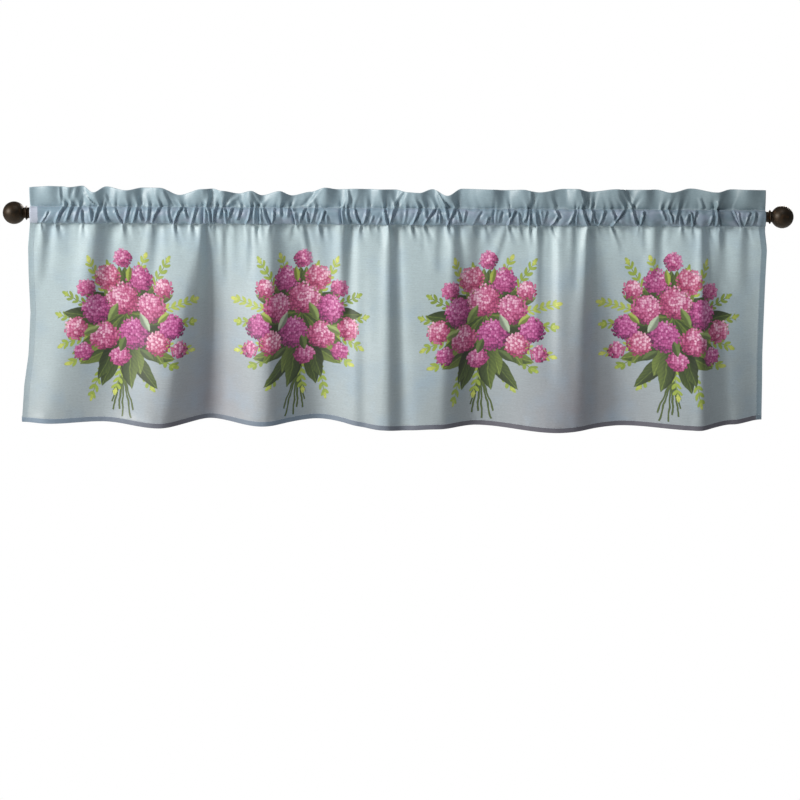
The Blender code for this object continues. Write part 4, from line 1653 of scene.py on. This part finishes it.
@dataclass(frozen=True)
class BronzePaint:
    """Oil-rubbed bronze paint, baked on steel: nearly black brown with a soft satin shine, and
    redder in random patches where it has rubbed."""

    dark: str = "#120c05"
    brown: str = "#261808"
    rubbed: str = "#462a12"
    shine: str = "#fff0dc"
    roughness: float = 0.5
    mottle: float = 7.0
    grain: float = 0.6

    def make(self) -> Material:
        """Makes the paint, on Object coordinates.

        Returns:
            The material.
        """
        material = new_material("oil_rubbed_bronze_paint")
        add = partial(add_node, material.node_tree)
        place = add("ShaderNodeTexCoord").outputs["Object"]
        noise = add(NOISE, {"Vector": place, "Scale": 1.0 / (self.mottle * MM), "Detail": 4.0})
        colour = add(RAMP, noise, stops=((0.3, self.dark), (0.62, self.brown), (0.8, self.rubbed)))
        grain = add(NOISE, {"Vector": place, "Scale": 1.0 / (self.grain * MM), "Detail": 2.0})
        bump = add(BUMP, {"Strength": 0.12, "Distance": 0.0002, "Height": grain})
        rough = add("MULTIPLY_ADD", noise, 0.18, self.roughness - 0.09)
        shader = {
            "Base Color": colour,
            "Roughness": rough,
            "Metallic": 0.35,
            "Specular Tint": linear(self.shine),
            "Coat Weight": 0.15,
            "Coat Roughness": 0.35,
            "Coat Tint": linear(self.shine),
            "Normal": bump,
        }
        shader = add(PRINCIPLED, shader)
        add("ShaderNodeOutputMaterial", {"Surface": shader})
        return material


def turned(profile: Array, sides: int, flip: bool = False) -> Surface:
    """A profile of (radius, along) points turned about the X axis. The first and the last point
    may lie on the axis; a profile that ends off it closes on its own start.

    Args:
        profile: the outline, whose left side faces out.
        sides: number of steps round.
        flip: turns the faces round, for a profile that runs the other way.

    Returns:
        The turned surface.
    """
    on_axis = profile[0, 0] == 0.0
    body = profile[1:-1] if on_axis else np.concatenate((profile, profile[:1]))
    angle = np.arange(sides) * 2.0 * math.pi / sides
    radius, along = body[:, 0, None], body[:, 1, None]
    points = np.stack((along + 0.0 * angle, radius * np.cos(angle), radius * np.sin(angle)), axis=2)
    count = len(body)
    faces = grid_faces(count, sides, around=True)
    points = points.reshape(-1, 3)
    fans: list = []
    if on_axis:
        tips = np.array([(profile[0, 1], 0.0, 0.0), (profile[-1, 1], 0.0, 0.0)])
        points = np.concatenate((points, tips))
        start = np.arange(sides)
        after = (start + 1) % sides
        near = np.stack((np.full(sides, len(points) - 2), after, start), axis=1)
        base = (count - 1) * sides
        far = np.stack((np.full(sides, len(points) - 1), start + base, after + base), axis=1)
        fans = [near, far]
    else:
        faces = faces % ((count - 1) * sides)
        points = points[: (count - 1) * sides]
    step = -1 if flip else 1
    listed = faces[:, ::step].tolist()
    for fan in fans:
        listed += fan[:, ::step].tolist()
    return Surface(points, listed)


@dataclass
class CurtainRod:
    """The plain tube, with slightly rounded lips."""

    length: float = 1390.0
    radius: float = 10.0
    wall: float = 1.0
    lip: float = 0.3
    sides: int = 72

    def build(self, paint: Material) -> Object:
        """Builds the tube: outside from left to right, and back through the bore.

        Args:
            paint: the rod's paint.

        Returns:
            The tube.
        """
        half, bore = self.length / 2.0, self.radius - self.wall
        spans = np.linspace(-half + self.lip, half - self.lip, 24)
        outside = [(self.radius, place) for place in spans]
        right = [(self.radius - self.lip, half), (bore + self.lip, half)]
        inside = [(bore, place) for place in spans[::-1]]
        left = [(bore + self.lip, -half), (self.radius - self.lip, -half)]
        profile = np.array(outside + right + inside + left)
        tube = turned(profile, self.sides, flip=True).make("rod_tube", [paint])
        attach(tube, "root")
        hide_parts("rod")
        return tube


@dataclass
class BallFinial:
    """A turned ball finial: ball, flared neck, pointed bead, collar and the spigot in the rod."""

    end: End
    ball_radius: float = 21.3
    ball_centre: float = 27.0
    ball_foot: float = 11.0
    neck_radius: float = 9.8
    bead_radius: float = 13.4
    bead_middle: float = 3.7
    bead_half: float = 2.4
    bead_base: float = 9.6
    collar_radius: float = 10.4
    gap: float = 0.3
    spigot_radius: float = 8.7
    spigot_length: float = 24.0
    rod_half: float = 695.0
    sides: int = 96

    def profile(self) -> Array:
        """The outline: a circle's arc, a flare to the neck, a round bead, and plain steps.

        Returns:
            (radius, distance from the rod's end) points from the tip to the spigot's end.
        """
        flare = math.asin(self.ball_foot / self.ball_radius)
        sweep = np.linspace(0.0, math.pi - flare, 40)
        ball = np.stack((np.sin(sweep), np.cos(sweep)), axis=1) * self.ball_radius
        ball[:, 1] += self.ball_centre
        ball[0, 0] = 0.0
        low = self.bead_middle + self.bead_half
        share = np.linspace(0.0, 1.0, 10)[1:]
        place = ball[-1, 1] + (low - ball[-1, 1]) * share
        start, dip = ball[-1, 0], self.neck_radius
        radius = dip + (start - dip) * (1.0 - share) ** 2.4
        radius = radius + (self.bead_base - dip) * share**6
        neck = np.stack((radius, place), axis=1)
        turn = np.linspace(-1.0, 1.0, 15)[1:]
        swell = np.cos(turn * math.pi / 2.0) ** 1.25
        radius = self.bead_base + (self.bead_radius - self.bead_base) * swell
        bead = np.stack((radius, self.bead_middle - turn * self.bead_half), axis=1)
        steps = (
            (self.collar_radius, self.bead_middle - self.bead_half - 0.1),
            (self.collar_radius, self.gap),
            (self.spigot_radius, self.gap),
            (self.spigot_radius, 1.0 - self.spigot_length),
            (self.spigot_radius - 1.0, -self.spigot_length),
            (0.0, -self.spigot_length),
        )
        return np.concatenate((ball, neck, bead, np.array(steps)))

    def build(self, paint: Material) -> Object:
        """Builds the finial on its end of the rod.

        Args:
            paint: the rod's paint.

        Returns:
            The finial.
        """
        outline = self.profile()
        outline[:, 1] = (outline[:, 1] + self.rod_half) * self.end.value
        name = self.end.name.lower()
        surface = turned(outline, self.sides, flip=self.end is End.LEFT)
        finial = surface.make(f"ball_finial_{name}", [paint])
        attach(finial, "root")
        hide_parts(f"finial_{name}")
        return finial


# ---------------------------------------------------------------------------------------------
# Studio
# ---------------------------------------------------------------------------------------------


class Lamp(NamedTuple):
    """An area light, in metres and watts."""

    name: str
    place: tuple[float, float, float]
    size: float
    power: float
    colour: str


@dataclass
class Studio:
    """White studio: camera, three soft lights, a pale floor and even light all round."""

    camera_place: tuple[float, float, float] = (0.0054, -4.924, 0.5148)
    camera_aim: tuple[float, float, float] = (0.0054, 0.0, -0.3534)
    camera_roll: float = 0.32
    lens: float = 118.21
    world_light: float = 0.2
    floor_height: float = -2.2
    lamps: tuple = (
        Lamp("key_light", (-5.4, -3.1, 1.8), 2.2, 410.0, "#fffdf9"),
        Lamp("top_light", (0.2, -1.2, 2.8), 1.6, 20.0, "#ffffff"),
        Lamp("back_light", (1.8, 4.5, 1.2), 2.0, 160.0, "#ffffff"),
    )

    def build(self) -> None:
        """Sets up the camera, the world, the lamps and the floor."""
        bpy.context.scene.view_settings.view_transform = "Standard"
        self.make_camera()
        self.make_world()
        for lamp in self.lamps:
            self.make_lamp(lamp)
        self.make_floor()

    def make_camera(self) -> None:
        """Aims the camera as the photograph was taken, with its slight roll."""
        data = bpy.data.cameras.new("camera")
        data.lens = self.lens
        data.sensor_width = 36.0
        camera = bpy.data.objects.new("camera", data)
        camera.location = self.camera_place
        look = Vector(self.camera_aim) - Vector(self.camera_place)
        camera.rotation_euler = look.to_track_quat("-Z", "Y").to_euler()
        camera.rotation_euler.rotate_axis("Z", math.radians(self.camera_roll))
        bpy.context.scene.collection.objects.link(camera)
        bpy.context.scene.camera = camera

    def make_world(self) -> None:
        """White to look at, and a little dimmer as light, so that folds keep their shade."""
        world = bpy.data.worlds.new("white_room")
        world.use_nodes = True
        tree = world.node_tree
        add = partial(add_node, tree)
        tree.nodes.clear()
        seen = add("ShaderNodeBackground", {"Color": linear("#ffffff"), "Strength": 1.0})
        light = add("ShaderNodeBackground", {"Color": linear("#f4f8ff"), "Strength": self.world_light})
        path = add("ShaderNodeLightPath")
        both = add("ShaderNodeMixShader", path.outputs["Is Camera Ray"], light, seen)
        add("ShaderNodeOutputWorld", {"Surface": both})
        bpy.context.scene.world = world

    def make_lamp(self, lamp: Lamp) -> None:
        """Adds one square area light that faces the valance.

        Args:
            lamp: the light's name, place, size, power and colour.
        """
        data = bpy.data.lights.new(lamp.name, "AREA")
        data.size = lamp.size
        data.energy = lamp.power
        data.color = linear(lamp.colour)[:3]
        light = bpy.data.objects.new(lamp.name, data)
        light.location = lamp.place
        aim = Vector((0.0, 0.0, -0.2)) - Vector(lamp.place)
        light.rotation_euler = aim.to_track_quat("-Z", "Y").to_euler()
        bpy.context.scene.collection.objects.link(light)

    def make_floor(self) -> None:
        """A plain pale floor below the view, ending short of what the camera sees. Like the room,
        it is brighter to look at than as light."""
        material = new_material("pale_floor_paint")
        add = partial(add_node, material.node_tree)
        shader = {"Base Color": linear("#f2f2f0"), "Roughness": 0.8}
        shader["Emission Color"] = linear("#c9c9c7")
        shader["Emission Strength"] = add("ShaderNodeLightPath").outputs["Is Camera Ray"]
        shader = add(PRINCIPLED, shader)
        add("ShaderNodeOutputMaterial", {"Surface": shader})
        low, high, half = -9000.0, 3000.0, 7000.0
        level = self.floor_height / MM
        corners = [(-half, low, level), (half, low, level), (half, high, level), (-half, high, level)]
        Surface(np.array(corners), [(0, 1, 2, 3)]).make("floor", [material])


def main() -> None:
    """Builds the studio, the cloth, the rod and the finials."""
    logging.basicConfig(level=logging.INFO, format="%(message)s")
    Studio().build()
    pieces = ValanceCloth().build()
    paint = BronzePaint().make()
    pieces.append(CurtainRod().build(paint))
    pieces += [BallFinial(end).build(paint) for end in End]
    for piece in pieces:
        triangles = sum(len(face.vertices) - 2 for face in piece.data.polygons)
        LOG.info("%s: %d triangles", piece.name, triangles)


if __name__ == "__main__":
    main()
